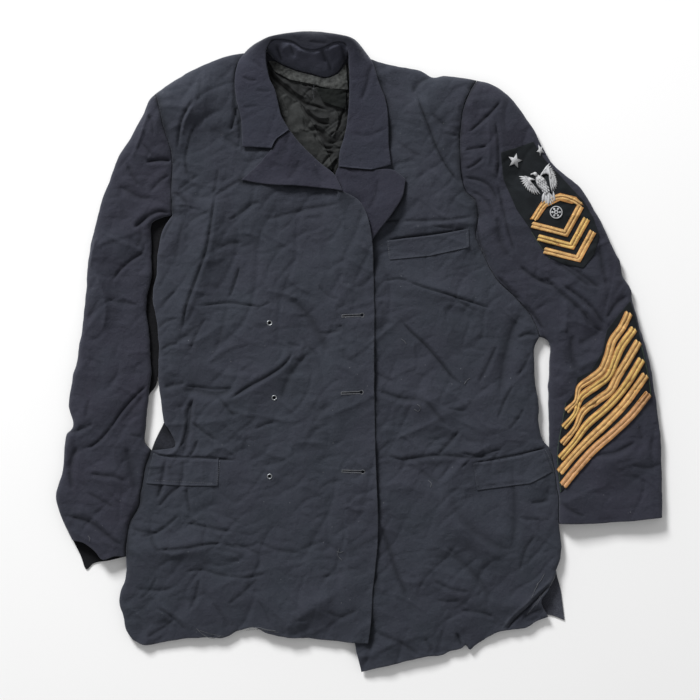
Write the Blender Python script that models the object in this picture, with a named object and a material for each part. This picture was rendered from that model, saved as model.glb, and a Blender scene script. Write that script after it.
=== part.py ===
"""A naval dress jacket laid flat on its back, face up, with its right front over its left.

Every panel is a closed wall of cloth. All the panels on the upper side are cut from one shared
net of triangles, so a panel that lies on another one is made from the same points, moved up by
the cloth's thickness and a small gap. The back, the under sleeves and the lining have nets of
their own. Tables are in millimetres: +X is the jacket's left, +Y is towards the collar, +Z is up
from the surface that it lies on. The origin is under the middle of its outline.
"""
import math
from collections import namedtuple

import bpy
import numpy as np
from mathutils import Vector
from mathutils.geometry import delaunay_2d_cdt

MM = 0.001

# Driving sizes, in millimetres
CLOTH = 2.4            # a wool panel with its lining
COLLAR_CLOTH = 2.4     # collar and lapels, with their canvas
LINING = 1.0           # lining alone
WELT = 1.6             # pocket welts
PATCH = 1.2            # cloth grounds of the badges
LACE = 1.2             # raised gold lace
METAL = 0.8            # eyelets
GAP = 0.3              # between pieces that touch
SEAM = 0.15            # each panel's share of the gap at a seam
RIM = 2.0              # how far the lower panels turn up at a closed edge
RIM_REACH = 12.0       # width of that turned-up rim
ROLL = 16.0            # how far in a closed edge is rounded
LOFT = 4.0             # how far the fronts stand off the back
SLEEVE_LOFT = 7.5      # how far the top sleeves stand off the under sleeves
SLEEVE_EASE = 60.0     # stretch below the armhole where one becomes the other
HEM_REACH = 70.0       # stretch above the hem where they close up again
HEM_SHARE = 0.3        # share of the loft that is left at the hem
LATTICE = 19.0         # spacing of the upper net
COARSE = 42.0          # spacing of the nets that lie on the surface
FINE = 13.0            # spacing of the lining's net
EDGE = 15.0            # spacing along cut edges
TRIM_EDGE = 9.0        # spacing along small trims
FIRST_RING = 4.5       # first row of points inside a closed edge

FLOOR_CLEAR = CLOTH + GAP      # underside of a panel that lies on a lower one

# Edges of the pattern pieces: (x, y) down each edge, joined by smooth curves
EDGES = {
    "right_shoulder": [(-126, 392), (-155, 387), (-174, 383), (-207, 370), (-239, 352), (-264, 335)],
    "right_armhole": [(-264, 335), (-259, 317), (-250, 281), (-243, 255), (-244, 210), (-243, 177)],
    "right_side": [(-243, 177), (-255, 158), (-261, 132), (-264, 99), (-268, 70), (-263, 41),
                   (-260, 2), (-261, -37), (-257, -70), (-254, -92)],
    "right_vent": [(-254, -92), (-244, -107), (-239, -123), (-256, -127), (-270, -128)],
    "right_vent_back": [(-254, -92), (-263, -110), (-270, -128)],
    "right_cuff_side": [(-270, -128), (-278, -154), (-283, -180), (-287, -203), (-298, -223),
                        (-302, -245), (-303, -267)],
    "right_skirt": [(-303, -267), (-303, -291), (-312, -323), (-307, -343), (-303, -362), (-294, -375)],
    "right_hem": [(-294, -375), (-278, -382), (-246, -376), (-207, -372), (-174, -372), (-155, -362),
                  (-138, -358), (-122, -365), (-96, -371), (-51, -374), (-12, -378), (12, -379)],
    "right_opening": [(12, -379), (16, -349), (18, -310), (23, -265), (25, -232), (22, -141), (20, -37),
                      (20, 67), (17, 145), (14, 164), (9, 181), (-3, 198), (-21, 207)],
    "right_roll": [(-21, 207), (-32, 229), (-46, 241), (-72, 265), (-90, 287)],
    "right_neck": [(-90, 287), (-100, 304), (-104, 318), (-109, 339), (-116, 354), (-120, 376), (-126, 392)],
    "left_shoulder": [(-16, 392), (17, 379), (40, 372), (73, 366), (86, 361), (95, 356), (112, 358),
                      (144, 354), (153, 352)],
    "left_armhole": [(153, 352), (144, 337), (135, 314), (131, 281), (131, 249), (133, 223),
                     (139, 207), (150, 197), (155, 177)],
    "left_underarm": [(155, 177), (152, 151), (159, 132), (170, 109), (183, 89), (203, 70), (220, 51),
                      (231, 31), (235, 19)],
    "left_waist": [(235, 19), (228, 6), (228, -18), (229, -44), (233, -63), (234, -96), (239, -115),
                   (247, -124)],
    "left_cuff_side": [(247, -124), (252, -141), (256, -167), (259, -193), (260, -224)],
    "left_skirt": [(260, -224), (263, -252), (261, -271), (256, -284)],
    "left_vent": [(256, -284), (247, -307), (237, -324), (246, -345)],
    "left_vent_back": [(256, -284), (264, -307), (269, -330), (266, -349), (246, -345)],
    "left_hem": [(246, -345), (216, -359), (196, -362), (177, -367), (157, -379), (138, -388), (125, -388),
                 (86, -398), (40, -408), (3, -417)],
    "left_opening": [(3, -417), (-5, -382), (-12, -323), (-18, -193), (-21, -63), (-21, 67), (-18, 116)],
    "left_roll": [(-18, 116), (-21, 164), (-27, 203), (-31, 229), (-27, 239)],
    "left_neck": [(-27, 239), (-25, 259), (-17, 288), (-13, 327), (-13, 366), (-16, 392)],
    "back_neck": [(-16, 392), (-26, 379), (-38, 366), (-62, 369), (-91, 378), (-107, 385), (-126, 392)],
    "back_hem": [(-294, -375), (-246, -370), (-174, -365), (-142, -352), (-96, -365), (-18, -371),
                 (53, -388), (118, -379), (183, -356), (246, -345)],
    "right_sleeve_outer": [(-264, 335), (-272, 327), (-281, 307), (-295, 281), (-311, 255), (-322, 229),
                           (-333, 200), (-338, 181), (-344, 158), (-350, 132), (-355, 80), (-361, 21),
                           (-367, -11), (-372, -37), (-377, -70), (-372, -99), (-380, -109), (-385, -154),
                           (-394, -188), (-390, -206), (-382, -226), (-373, -245)],
    "right_cuff_top": [(-373, -245), (-356, -249), (-341, -261), (-333, -270), (-317, -266), (-303, -267)],
    "right_cuff_under": [(-373, -245), (-363, -265), (-355, -284), (-346, -276), (-324, -272), (-303, -267)],
    "right_sleeve_inner": [(-243, 177), (-259, 172), (-269, 166), (-270, 145), (-269, 119), (-270, 93),
                           (-276, 67), (-273, 28), (-270, -24), (-273, -57), (-277, -96), (-278, -118),
                           (-270, -128)],
    "left_sleeve_outer": [(153, 352), (170, 348), (186, 339), (199, 327), (216, 305), (229, 285), (238, 266),
                          (251, 245), (272, 226), (287, 213), (300, 194), (313, 171), (326, 145), (339, 116),
                          (342, 99), (352, 83), (358, 54), (366, 28), (374, 2), (381, -31), (386, -63),
                          (391, -102), (393, -141), (394, -180), (394, -216)],
    "left_cuff": [(394, -216), (352, -220), (313, -223), (268, -224), (260, -224)],
    "left_sleeve_gap": [(235, 19), (243, 16), (248, 8), (247, -24), (246, -63), (247, -102), (247, -124)],
    "collar_outer": [(-151, 265), (-153, 301), (-159, 327), (-161, 353), (-156, 376), (-146, 392),
                     (-129, 404), (-112, 410), (-87, 415), (-65, 417), (-43, 415), (-20, 411), (-5, 406),
                     (6, 393), (17, 376), (27, 346), (35, 324), (38, 301), (39, 262), (42, 242)],
    "collar_left_end": [(42, 242), (16, 235)],
    "left_gorge": [(16, 235), (-5, 237), (-27, 239)],
    "left_fold": [(-27, 239), (-25, 259), (-17, 288), (-13, 327), (-13, 366), (-14, 385)],
    "back_fold": [(-14, 385), (-18, 397), (-32, 398), (-43, 393), (-58, 389), (-74, 392), (-83, 398),
                  (-101, 402), (-112, 401), (-120, 389)],
    "right_fold": [(-120, 389), (-120, 376), (-116, 354), (-109, 339), (-104, 318), (-100, 304), (-90, 287)],
    "right_gorge": [(-90, 287), (-98, 281), (-107, 275), (-113, 263)],
    "collar_right_end": [(-113, 263), (-151, 265)],
    "neck_seam": [(-120, 389), (-109, 379), (-94, 371), (-81, 366), (-64, 362), (-46, 357), (-38, 358),
                  (-29, 363), (-23, 370), (-14, 385)],
    "right_lapel_top": [(-113, 263), (-131, 242), (-153, 222)],
    "right_lapel_edge": [(-153, 222), (-116, 216), (-77, 214), (-38, 210), (-21, 207)],
    "left_lapel_top": [(16, 235), (43, 236), (61, 223)],
    "left_lapel_edge": [(61, 223), (56, 200), (40, 174), (27, 158), (17, 145), (1, 129), (-18, 116)],
}

# Each panel's outline, edge by edge; a minus sign runs an edge backwards
PANELS = {
    "back": ["right_shoulder", "right_armhole", "right_side", "right_vent_back", "right_cuff_side",
             "right_skirt", "back_hem", "-left_vent_back", "-left_skirt", "-left_cuff_side", "-left_waist",
             "-left_underarm", "-left_armhole", "-left_shoulder", "back_neck"],
    "right_sleeve_under": ["right_sleeve_outer", "right_cuff_under", "-right_cuff_side",
                           "-right_sleeve_inner", "-right_armhole"],
    "left_sleeve_under": ["left_sleeve_outer", "left_cuff", "-left_cuff_side", "-left_sleeve_gap",
                          "-left_underarm", "-left_armhole"],
    "right_sleeve_top": ["right_sleeve_outer", "right_cuff_top", "-right_cuff_side",
                         "-right_sleeve_inner", "-right_armhole"],
    "left_sleeve_top": ["left_sleeve_outer", "left_cuff", "-left_cuff_side", "-left_sleeve_gap",
                        "-left_underarm", "-left_armhole"],
    "left_front": ["left_shoulder", "left_armhole", "left_underarm", "left_waist", "left_cuff_side",
                   "left_skirt", "left_vent", "left_hem", "left_opening", "left_roll", "left_neck"],
    "left_lapel": ["left_roll", "-left_gorge", "left_lapel_top", "left_lapel_edge"],
    "right_front": ["right_shoulder", "right_armhole", "right_side", "right_vent", "right_cuff_side",
                    "right_skirt", "right_hem", "right_opening", "right_roll", "right_neck"],
    "right_lapel": ["right_roll", "right_gorge", "right_lapel_top", "right_lapel_edge"],
    "collar_fall": ["collar_outer", "collar_left_end", "left_gorge", "left_fold", "back_fold",
                    "right_fold", "right_gorge", "collar_right_end"],
    "collar_stand": ["back_fold", "neck_seam"],
}

# Small flat pieces: (x, y) round each one
SHAPES = {
    "breast_welt": [(36, 144), (92, 150), (142, 159), (143, 135), (92, 124), (40, 119)],
    "right_pocket_welt": [(-260, -133), (-243, -137), (-182, -138), (-183, -174), (-233, -174), (-268, -171)],
    "left_pocket_welt": [(148, -145), (196, -136), (239, -127), (251, -156), (222, -171), (153, -180)],
    "rating_badge": [(183, 257), (226, 272), (240, 250), (256, 233), (276, 211), (292, 194), (303, 174),
                     (311, 150), (305, 126), (290, 108), (265, 113), (244, 123), (222, 158), (204, 184),
                     (187, 223)],
    "stripe_ground": [(268, -67), (260, -115), (257, -153), (261, -183), (300, -136), (337, -105),
                      (380, -58), (372, -20), (365, 11), (360, 38), (352, 66), (337, 49), (321, 28),
                      (315, -1), (300, -25), (283, -34), (278, -55)],
    "neck_lining": [(-118, 379), (-109, 376), (-94, 368), (-81, 363), (-64, 359), (-46, 354), (-38, 355),
                    (-27, 360), (-21, 368), (-16, 376), (-7, 363), (-4, 327), (-8, 288), (-14, 259),
                    (-20, 233), (-23, 218), (-34, 222), (-48, 232), (-77, 257), (-98, 281), (-108, 301),
                    (-114, 320), (-121, 340), (-126, 358)],
    "front_lining": [(-112, 348), (-98, 338), (-74, 320), (-66, 305), (-51, 279), (-38, 252), (-34, 236),
                     (-43, 236), (-61, 250), (-79, 267), (-99, 291), (-108, 311), (-114, 330)],
    "neck_label": [(-56, 342), (-17, 339), (-17, 314), (-47, 324)],
}

# Raised gold lace of the arm badge: the first chevron, the step to the next, and the arc above
CHEVRON = [(222, 160), (270, 148), (291, 186), (282, 190), (265, 158), (226, 168)]
CHEVRON_STEP = (8.0, -16.5)
CHEVRONS = 3
BADGE_ARC = [(221, 171), (237, 196), (260, 205), (281, 200), (291, 189), (281, 192), (275, 191), (260, 195),
             (243, 187), (231, 170)]

# Silver bird above the arc: half its outline, from the tail round a raised wing to the head
BIRD_CENTRE = (237, 212)
BIRD_TURN = math.radians(-20)
BIRD_HALF = [(5, -7), (6, -1), (13, -5), (20, 4), (24, 18), (20, 22), (12, 17), (6, 8), (4, 17)]
BIRD_TAIL = [(-4, -13), (4, -13)]
BIRD_HEAD = [(0, 20)]

# Centre lines of the service stripes, from the inner edge of the forearm outwards
STRIPE_WIDTH = 9.0
STRIPES = [
    [(271, -75), (281, -64), (285, -47), (301, -35), (314, -24), (322, -6), (328, 14), (340, 31), (348, 47)],
    [(267, -96), (280, -80), (287, -60), (309, -43), (323, -31), (331, -12), (339, 6), (354, 27)],
    [(265, -117), (280, -99), (290, -78), (309, -63), (325, -51), (335, -32), (347, -12), (360, 10)],
    [(263, -136), (279, -117), (295, -95), (323, -70), (343, -47), (364, -13)],
    [(262, -154), (278, -135), (298, -114), (320, -93), (343, -69), (369, -33)],
    [(266, -171), (280, -154), (303, -128), (328, -106), (352, -83), (373, -57)],
]

# Eyelets down the right front
EYELETS = [(-116, 37), (-110, -60), (-116, -162)]
EYELET_RADIUS = 4.0
EYELET_HOLE = 1.7
EYELET_SIDES = 10

Mound = namedtuple("Mound", "x y reach_x reach_y rise")
MOUNDS = [
    Mound(-226, 325, 58, 46, 11.0),     # right shoulder pad
    Mound(118, 330, 58, 42, 11.0),      # left shoulder pad
    Mound(-268, 285, 30, 52, 5.0),      # right sleeve head
    Mound(172, 285, 34, 52, 5.0),       # left sleeve head
    Mound(-165, 240, 70, 80, 3.5),      # right chest
    Mound(75, 215, 55, 75, 3.0),        # left chest
    Mound(-330, -60, 40, 60, 3.0),      # right elbow
    Mound(300, 50, 34, 55, 5.0),        # left elbow
    Mound(-110, -250, 90, 60, 2.0),     # right skirt
    Mound(130, -250, 70, 60, 2.5),      # left skirt
]

# The largest folds: from one end through the middle to the other, the width on each side of the
# crest, and the rise (a trough where it is negative)
Fold = namedtuple("Fold", "x0 y0 x1 y1 x2 y2 width rise")
FOLDS = [
    Fold(-186, 201, -196, 145, -233, 21, 17, 7.0),       # right chest, down to the side
    Fold(-207, 350, -209, 327, -235, 275, 14, 5.0),      # right shoulder
    Fold(-155, 109, -169, 63, -187, -5, 20, -4.5),       # middle of the right front
    Fold(-81, 64, -66, 38, -48, -2, 22, -4.0),           # beside the first eyelet
    Fold(-90, -5, -126, -37, -185, -66, 18, 6.0),        # right waist, diagonal
    Fold(-245, -46, -207, -49, -155, -46, 14, -4.5),     # right waist, level
    Fold(-216, -60, -225, -102, -233, -135, 14, -4.5),   # over the right pocket
    Fold(-38, -57, -53, -96, -77, -135, 26, 4.0),        # right belly
    Fold(-285, -256, -233, -257, -187, -248, 13, 5.0),   # right hip
    Fold(-226, -285, -183, -289, -122, -288, 15, -4.0),  # right skirt, level
    Fold(-100, -360, -70, -339, -31, -313, 24, 5.0),     # right skirt, diagonal
    Fold(-265, -332, -243, -345, -213, -365, 14, 4.0),   # right hem corner
    Fold(72, 325, 86, 301, 131, 220, 16, 6.0),           # left chest, along the armhole
    Fold(56, 92, 105, 77, 164, 63, 15, 5.0),             # under the breast welt
    Fold(53, 41, 86, 8, 135, -44, 20, -5.0),             # left front, diagonal
    Fold(206, 51, 194, 8, 183, -63, 20, -5.0),           # left side
    Fold(40, -50, 79, -66, 118, -102, 18, 5.0),          # left waist
    Fold(45, -125, 101, -135, 183, -132, 14, 3.5),       # above the left pocket
    Fold(114, -174, 134, -226, 200, -262, 24, 5.5),      # left hip
    Fold(38, -219, 45, -252, 66, -326, 18, -4.0),        # left skirt, lengthways
    Fold(95, -297, 118, -307, 160, -313, 16, 4.0),       # left skirt, level
    Fold(183, -330, 215, -328, 250, -312, 13, 4.0),      # left hem corner
    Fold(-291, 161, -274, 174, -250, 179, 14, 5.0),      # right upper arm
    Fold(-278, 128, -290, 112, -321, 89, 16, -4.5),      # right arm, diagonal
    Fold(-339, 145, -338, 99, -332, 28, 15, 5.0),        # right arm, lengthways
    Fold(-280, -45, -300, -73, -345, -120, 16, -5.0),    # right elbow
    Fold(-350, -158, -325, -162, -302, -170, 14, 4.0),   # right forearm
    Fold(174, 301, 182, 255, 178, 223, 14, 4.5),         # left sleeve head
    Fold(261, 116, 287, 99, 313, 80, 15, 5.0),           # under the arm badge
    Fold(285, 15, 300, 21, 325, 32, 14, -6.0),           # left elbow, across
    Fold(281, 10, 280, -10, 287, -45, 12, -4.5),         # left elbow, down
    Fold(274, 80, 287, 67, 316, 40, 14, 5.0),            # left elbow, diagonal
    Fold(307, -145, 333, -141, 372, -130, 17, 4.5),      # left cuff
]

# How far the free edges of the lapels stand off the fronts
LAPEL_MOUNDS = [
    Mound(-88, 222, 34, 20, 3.5),
    Mound(-86, 282, 24, 24, 2.5),
    Mound(26, 205, 26, 30, 3.0),
    Mound(-22, 236, 14, 24, 2.0),
]

# Height of the collar's fold above the surface, from the gorge up to the back of the neck
FOLD_HEIGHT = [(239, 14.5), (300, 17.5), (345, 21.0), (380, 25.5), (402, 28.0)]
COLLAR_BACK = (372.0, 402.0)       # where the collar leaves the fronts and reaches the surface
COLLAR_SEAT = 0.6                  # its back edge above the surface

# Creases of the lining inside the neck
LINING_FOLDS = [
    Fold(-112, 366, -70, 348, -20, 343, 10, 2.5),
    Fold(-112, 352, -74, 320, -45, 282, 9, -1.0),
    Fold(-66, 322, -46, 312, -26, 300, 9, 2.5),
    Fold(-60, 296, -45, 290, -24, 282, 9, 2.5),
    Fold(-46, 268, -36, 255, -28, 244, 8, 2.0),
]

UPPER = ["left_sleeve_top", "right_sleeve_top", "left_front", "left_lapel", "right_front", "right_lapel",
         "collar_stand", "collar_fall"]

NAVY = (0.014, 0.016, 0.027)
Finish = namedtuple("Finish", "colour roughness metallic")
FINISHES = {
    "wool": Finish(NAVY, 0.85, 0.0),
    "badge_cloth": Finish((0.006, 0.007, 0.008), 0.9, 0.0),
    "lining": Finish((0.035, 0.037, 0.036), 0.6, 0.0),
    "label": Finish((0.01, 0.012, 0.011), 0.8, 0.0),
    "gold": Finish((0.72, 0.45, 0.16), 0.45, 0.2),
    "silver": Finish((0.62, 0.62, 0.6), 0.45, 0.2),
    "eyelet": Finish((0.45, 0.47, 0.48), 0.4, 0.8),
}


def clear_scene():
    """Remove what the scene holds before the jacket is made."""
    for item in list(bpy.data.objects):
        bpy.data.objects.remove(item, do_unlink=True)


def smoothstep(value):
    """Ease from 0 to 1 over values 0 to 1."""
    share = np.clip(value, 0.0, 1.0)
    return share * share * (3.0 - 2.0 * share)


def curve(points, step):
    """Points about every `step` along a centripetal spline through `points`."""
    table = np.array(points, float)
    table = np.vstack([2 * table[0] - table[1], table, 2 * table[-1] - table[-2]])
    dense = []
    for index in range(1, len(table) - 2):
        p0, p1, p2, p3 = table[index - 1:index + 3]
        k1 = math.sqrt(np.linalg.norm(p1 - p0))
        k2 = k1 + math.sqrt(np.linalg.norm(p2 - p1))
        k3 = k2 + math.sqrt(np.linalg.norm(p3 - p2))
        for t in np.linspace(k1, k2, 12, endpoint=False):
            a1 = (k1 - t) / k1 * p0 + t / k1 * p1
            a2 = (k2 - t) / (k2 - k1) * p1 + (t - k1) / (k2 - k1) * p2
            a3 = (k3 - t) / (k3 - k2) * p2 + (t - k2) / (k3 - k2) * p3
            b1 = (k2 - t) / k2 * a1 + t / k2 * a2
            b2 = (k3 - t) / (k3 - k1) * a2 + (t - k1) / (k3 - k1) * a3
            dense.append((k2 - t) / (k2 - k1) * b1 + (t - k1) / (k2 - k1) * b2)
    dense = np.array(dense + [table[-2]])
    length = np.concatenate([[0.0], np.cumsum(np.linalg.norm(np.diff(dense, axis=0), axis=1))])
    count = max(1, round(length[-1] / step))
    at = np.linspace(0.0, length[-1], count + 1)
    return np.stack([np.interp(at, length, dense[:, axis]) for axis in (0, 1)], axis=1)


def edge(name, step=EDGE):
    """One named edge as points, backwards where the name starts with a minus sign."""
    line = curve(EDGES[name.lstrip("-")], step)
    return line[::-1] if name.startswith("-") else line


def polygon(points, step):
    """A closed outline with straight sides, divided about every `step`."""
    loop = []
    for start, end in zip(points, points[1:] + points[:1]):
        start, end = np.array(start, float), np.array(end, float)
        count = max(1, round(np.linalg.norm(end - start) / step))
        loop += [start + (end - start) * index / count for index in range(count)]
    return np.array(loop)


def area(loop):
    """Signed area of a closed outline."""
    x, y = loop[:, 0], loop[:, 1]
    return 0.5 * float(np.sum(x * np.roll(y, -1) - np.roll(x, -1) * y))


def inset(loop, distance):
    """Move a closed outline inwards, with mitred corners."""
    if area(loop) < 0:
        loop = loop[::-1]
    before = loop - np.roll(loop, 1, axis=0)
    after = np.roll(loop, -1, axis=0) - loop
    normals = []
    for side in (before, after):
        side = side / np.linalg.norm(side, axis=1)[:, None]
        normals.append(np.stack([-side[:, 1], side[:, 0]], axis=1))
    middle = normals[0] + normals[1]
    middle /= np.maximum(np.linalg.norm(middle, axis=1), 1e-6)[:, None]
    miter = np.maximum(np.sum(middle * normals[0], axis=1), 0.4)
    return loop + middle * (distance / miter)[:, None]


def outline(name):
    """A panel's cut outline, with its share of the seam gap taken off."""
    return inset(np.vstack([edge(part)[:-1] for part in PANELS[name]]), SEAM)


def inside(points, loop):
    """Which of the points lie inside a closed outline."""
    x, y = points[:, 0][:, None], points[:, 1][:, None]
    x0, y0 = loop[:, 0][None], loop[:, 1][None]
    x1, y1 = np.roll(loop[:, 0], -1)[None], np.roll(loop[:, 1], -1)[None]
    crosses = (y0 > y) != (y1 > y)
    rise = np.where(y1 == y0, 1.0, y1 - y0)
    return (np.sum(crosses & (x < (x1 - x0) * (y - y0) / rise + x0), axis=1) % 2) == 1


def distance(points, line):
    """Distance from each point to an open line of points."""
    best = np.full(len(points), 1e9)
    for start, end in zip(line[:-1], line[1:]):
        side = end - start
        share = np.clip(((points - start) @ side) / max(side @ side, 1e-9), 0.0, 1.0)
        best = np.minimum(best, np.linalg.norm(points - start - share[:, None] * side, axis=1))
    return best


def closed(loop):
    """A closed outline with its first point repeated at the end."""
    return np.vstack([loop, loop[:1]])


def fold_line(fold, count=9):
    """Points along a fold's crest: a parabola through its ends and its middle."""
    t = np.linspace(0.0, 1.0, count)[:, None]
    start, middle, end = (np.array(p, float) for p in
                          ((fold.x0, fold.y0), (fold.x1, fold.y1), (fold.x2, fold.y2)))
    control = 2 * middle - (start + end) / 2
    return (1 - t) ** 2 * start + 2 * t * (1 - t) * control + t * t * end


def fold_height(points, fold):
    """Rise of one fold: a soft ridge or trough that dies away at both ends."""
    line = fold_line(fold)
    best = np.full(len(points), 1e9)
    along = np.zeros(len(points))
    for index, (start, end) in enumerate(zip(line[:-1], line[1:])):
        side = end - start
        share = np.clip(((points - start) @ side) / (side @ side), 0.0, 1.0)
        far = np.linalg.norm(points - start - share[:, None] * side, axis=1)
        nearer = far < best
        best = np.where(nearer, far, best)
        along = np.where(nearer, (index + share) / (len(line) - 1), along)
    taper = np.sin(math.pi * np.clip(0.12 + 0.76 * along, 0.0, 1.0))
    return fold.rise * taper * np.exp(-(best / fold.width) ** 2)


def mound_height(points, mound):
    """Rise of one soft mound."""
    reach = ((points[:, 0] - mound.x) / mound.reach_x) ** 2 + ((points[:, 1] - mound.y) / mound.reach_y) ** 2
    return mound.rise * np.exp(-reach)


CLOSED_EDGES = ["right_shoulder", "right_side", "right_cuff_side", "right_skirt", "left_shoulder",
                "left_underarm", "left_waist", "left_cuff_side", "left_skirt", "right_sleeve_outer",
                "right_sleeve_inner", "left_sleeve_outer", "left_sleeve_gap"]
HEMS = ["right_hem", "left_hem"]


def closed_edge_distance(points):
    """Distance to the nearest closed edge: a shoulder, a side or a sleeve's fold."""
    return np.min([distance(points, edge(name)) for name in CLOSED_EDGES], axis=0)


def rim_rise(points):
    """How far the lower panels turn up at the closed edges."""
    return RIM * (1.0 - smoothstep(closed_edge_distance(points) / RIM_REACH))


def cloth_height(points):
    """Underside of the uppermost single layer of cloth, before anything under it lifts it."""
    far = np.where(on_jacket(points), closed_edge_distance(points), 0.0)
    roll = np.sqrt(np.clip(1.0 - (1.0 - np.minimum(far / ROLL, 1.0)) ** 2, 0.0, 1.0))
    hem = np.min([distance(points, edge(name)) for name in HEMS], axis=0)
    loft = LOFT * (HEM_SHARE + (1.0 - HEM_SHARE) * smoothstep(hem / HEM_REACH))
    for sleeve, armhole in (("right_sleeve_under", "right_armhole"), ("left_sleeve_under", "left_armhole")):
        down = np.where(inside(points, JACKET_LOOPS[sleeve]), distance(points, edge(armhole)), 0.0)
        loft = loft + (SLEEVE_LOFT - LOFT) * smoothstep(down / SLEEVE_EASE)
    relief = sum(mound_height(points, mound) for mound in MOUNDS)
    relief = relief + sum(fold_height(points, fold) for fold in FOLDS)
    rim = RIM * (1.0 - smoothstep(far / RIM_REACH))
    lowest = FLOOR_CLEAR + rim + 0.4 * roll
    return np.maximum(FLOOR_CLEAR + rim + (loft + relief) * roll, lowest)


def on_jacket(points):
    """Which points lie on the body or the sleeves."""
    return np.any([inside(points, loop) for loop in JACKET_LOOPS.values()], axis=0)


def over(points, loop, amount, reach=24.0):
    """Lift of cloth that drapes over the edge of a piece below it."""
    far = np.where(inside(points, loop), 0.0, distance(points, closed(loop)))
    return amount * (1.0 - smoothstep(far / reach))


def collar_height(points):
    """Underside of the collar's fall: from its fold down to the fronts, or to the surface behind."""
    fold = np.vstack([edge("left_fold"), edge("back_fold"), edge("right_fold")])
    to_fold = distance(points, fold)
    to_edge = distance(points, edge("collar_outer"))
    share = to_fold / np.maximum(to_fold + to_edge, 1e-6)
    crest = np.interp(points[:, 1], *zip(*FOLD_HEIGHT))
    behind = smoothstep((points[:, 1] - COLLAR_BACK[0]) / (COLLAR_BACK[1] - COLLAR_BACK[0]))
    seat = (1.0 - behind) * (cloth_height(points) + CLOTH + GAP) + behind * COLLAR_SEAT
    return seat + np.maximum(crest - seat, 0.0) * (1.0 - share ** 1.7)


def stand_height(points):
    """Underside of the collar's stand: from the neck seam up to the fold."""
    to_fold = distance(points, edge("back_fold"))
    to_seam = distance(points, edge("neck_seam"))
    share = to_seam / np.maximum(to_fold + to_seam, 1e-6)
    crest = np.interp(points[:, 1], *zip(*FOLD_HEIGHT))
    return FLOOR_CLEAR + (crest - FLOOR_CLEAR) * share ** 0.8


def lattice(loops, step):
    """Even points, in staggered rows, inside any of the outlines."""
    low = np.min([loop.min(axis=0) for loop in loops], axis=0)
    high = np.max([loop.max(axis=0) for loop in loops], axis=0)
    rise = step * math.sqrt(3) / 2
    rows = []
    for row, y in enumerate(np.arange(low[1], high[1], rise)):
        x = np.arange(low[0] + (row % 2) * step / 2, high[0], step)
        rows.append(np.stack([x, np.full(len(x), y)], axis=1))
    points = np.vstack(rows)
    return points[np.any([inside(points, loop) for loop in loops], axis=0)]


def net(loops, free, fill, step):
    """Triangulate outlines, free points and an even filling into one shared net."""
    lines = [closed(loop) for loop in loops]
    room = np.min([distance(fill, line) for line in lines], axis=0) > 0.55 * step
    fill = fill[room]
    if len(free):
        near = np.linalg.norm(fill[:, None] - free[None], axis=2).min(axis=1)
        fill = fill[near > 0.62 * step]
        free = free[np.min([distance(free, line) for line in lines], axis=0) > 3.0]
        kept = []
        for point in free:
            if all(np.linalg.norm(point - other) > 5.0 for other in kept):
                kept.append(point)
        free = np.array(kept)
    points, edges = [], []
    for loop in loops:
        first = len(points)
        points += [Vector(p) for p in loop]
        edges += [(first + i, first + (i + 1) % len(loop)) for i in range(len(loop))]
    points += [Vector(p) for p in free] + [Vector(p) for p in fill]
    verts, _, faces, *_ = delaunay_2d_cdt(points, edges, [], 0, 0.01)
    verts = np.array([tuple(v) for v in verts])
    return verts, np.array([f for f in faces if len(f) == 3])


def rings(names, distances):
    """Rows of points just inside the closed edges, where the cloth rolls over."""
    rows = []
    for name in names:
        line = edge(name)
        along = np.gradient(line, axis=0)
        along /= np.linalg.norm(along, axis=1)[:, None]
        side = np.stack([-along[:, 1], along[:, 0]], axis=1)
        for far in distances:
            for sign in (1, -1):
                rows.append((line + sign * far * side, far))
    kept = []
    for row, far in rows:
        good = on_jacket(row) & (closed_edge_distance(row) > 0.9 * far)
        kept.append(row[good])
    return np.vstack(kept)


def wall(name, verts, faces, low, high, finish):
    """A closed wall: the same faces at two heights, joined round every boundary edge."""
    used = np.unique(faces)
    index = {int(old): new for new, old in enumerate(used)}
    count = len(used)
    points = [(verts[v, 0] * MM, verts[v, 1] * MM, low[v] * MM) for v in used]
    points += [(verts[v, 0] * MM, verts[v, 1] * MM, high[v] * MM) for v in used]
    polygons, sides = [], {}
    for face in faces:
        a, b, c = (index[int(v)] for v in face)
        polygons += [(a + count, b + count, c + count), (c, b, a)]
        for pair in ((a, b), (b, c), (c, a)):
            sides[pair] = sides.get(pair, 0) + 1
    for (a, b) in sides:
        if (b, a) not in sides:
            polygons.append((a, b, b + count, a + count))
    mesh = bpy.data.meshes.new(name)
    mesh.from_pydata(points, [], polygons)
    mesh.materials.append(material(finish))
    item = bpy.data.objects.new(name, mesh)
    bpy.context.scene.collection.objects.link(item)
    return item


def material(finish, cache={}):
    """The Principled material of a finish, made once."""
    if finish not in cache:
        made = bpy.data.materials.new(finish)
        made.use_nodes = True
        shader = made.node_tree.nodes["Principled BSDF"]
        colour, roughness, metallic = FINISHES[finish]
        shader.inputs["Base Color"].default_value = (*colour, 1.0)
        shader.inputs["Roughness"].default_value = roughness
        shader.inputs["Metallic"].default_value = metallic
        made.diffuse_color = (*colour, 1.0)
        cache[finish] = made
    return cache[finish]


def upward(verts, faces):
    """Turn every face of a net counterclockwise, seen from above."""
    a, b, c = (verts[faces[:, k]] for k in range(3))
    turn = (b[:, 0] - a[:, 0]) * (c[:, 1] - a[:, 1]) - (b[:, 1] - a[:, 1]) * (c[:, 0] - a[:, 0])
    return np.where((turn > 0)[:, None], faces, faces[:, ::-1])


def faces_in(verts, faces, loop, hole=None):
    """The net's faces inside an outline, less those inside a hole."""
    middles = verts[faces].mean(axis=1)
    chosen = inside(middles, loop)
    if hole is not None:
        chosen &= ~inside(middles, hole)
    return faces[chosen]


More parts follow.
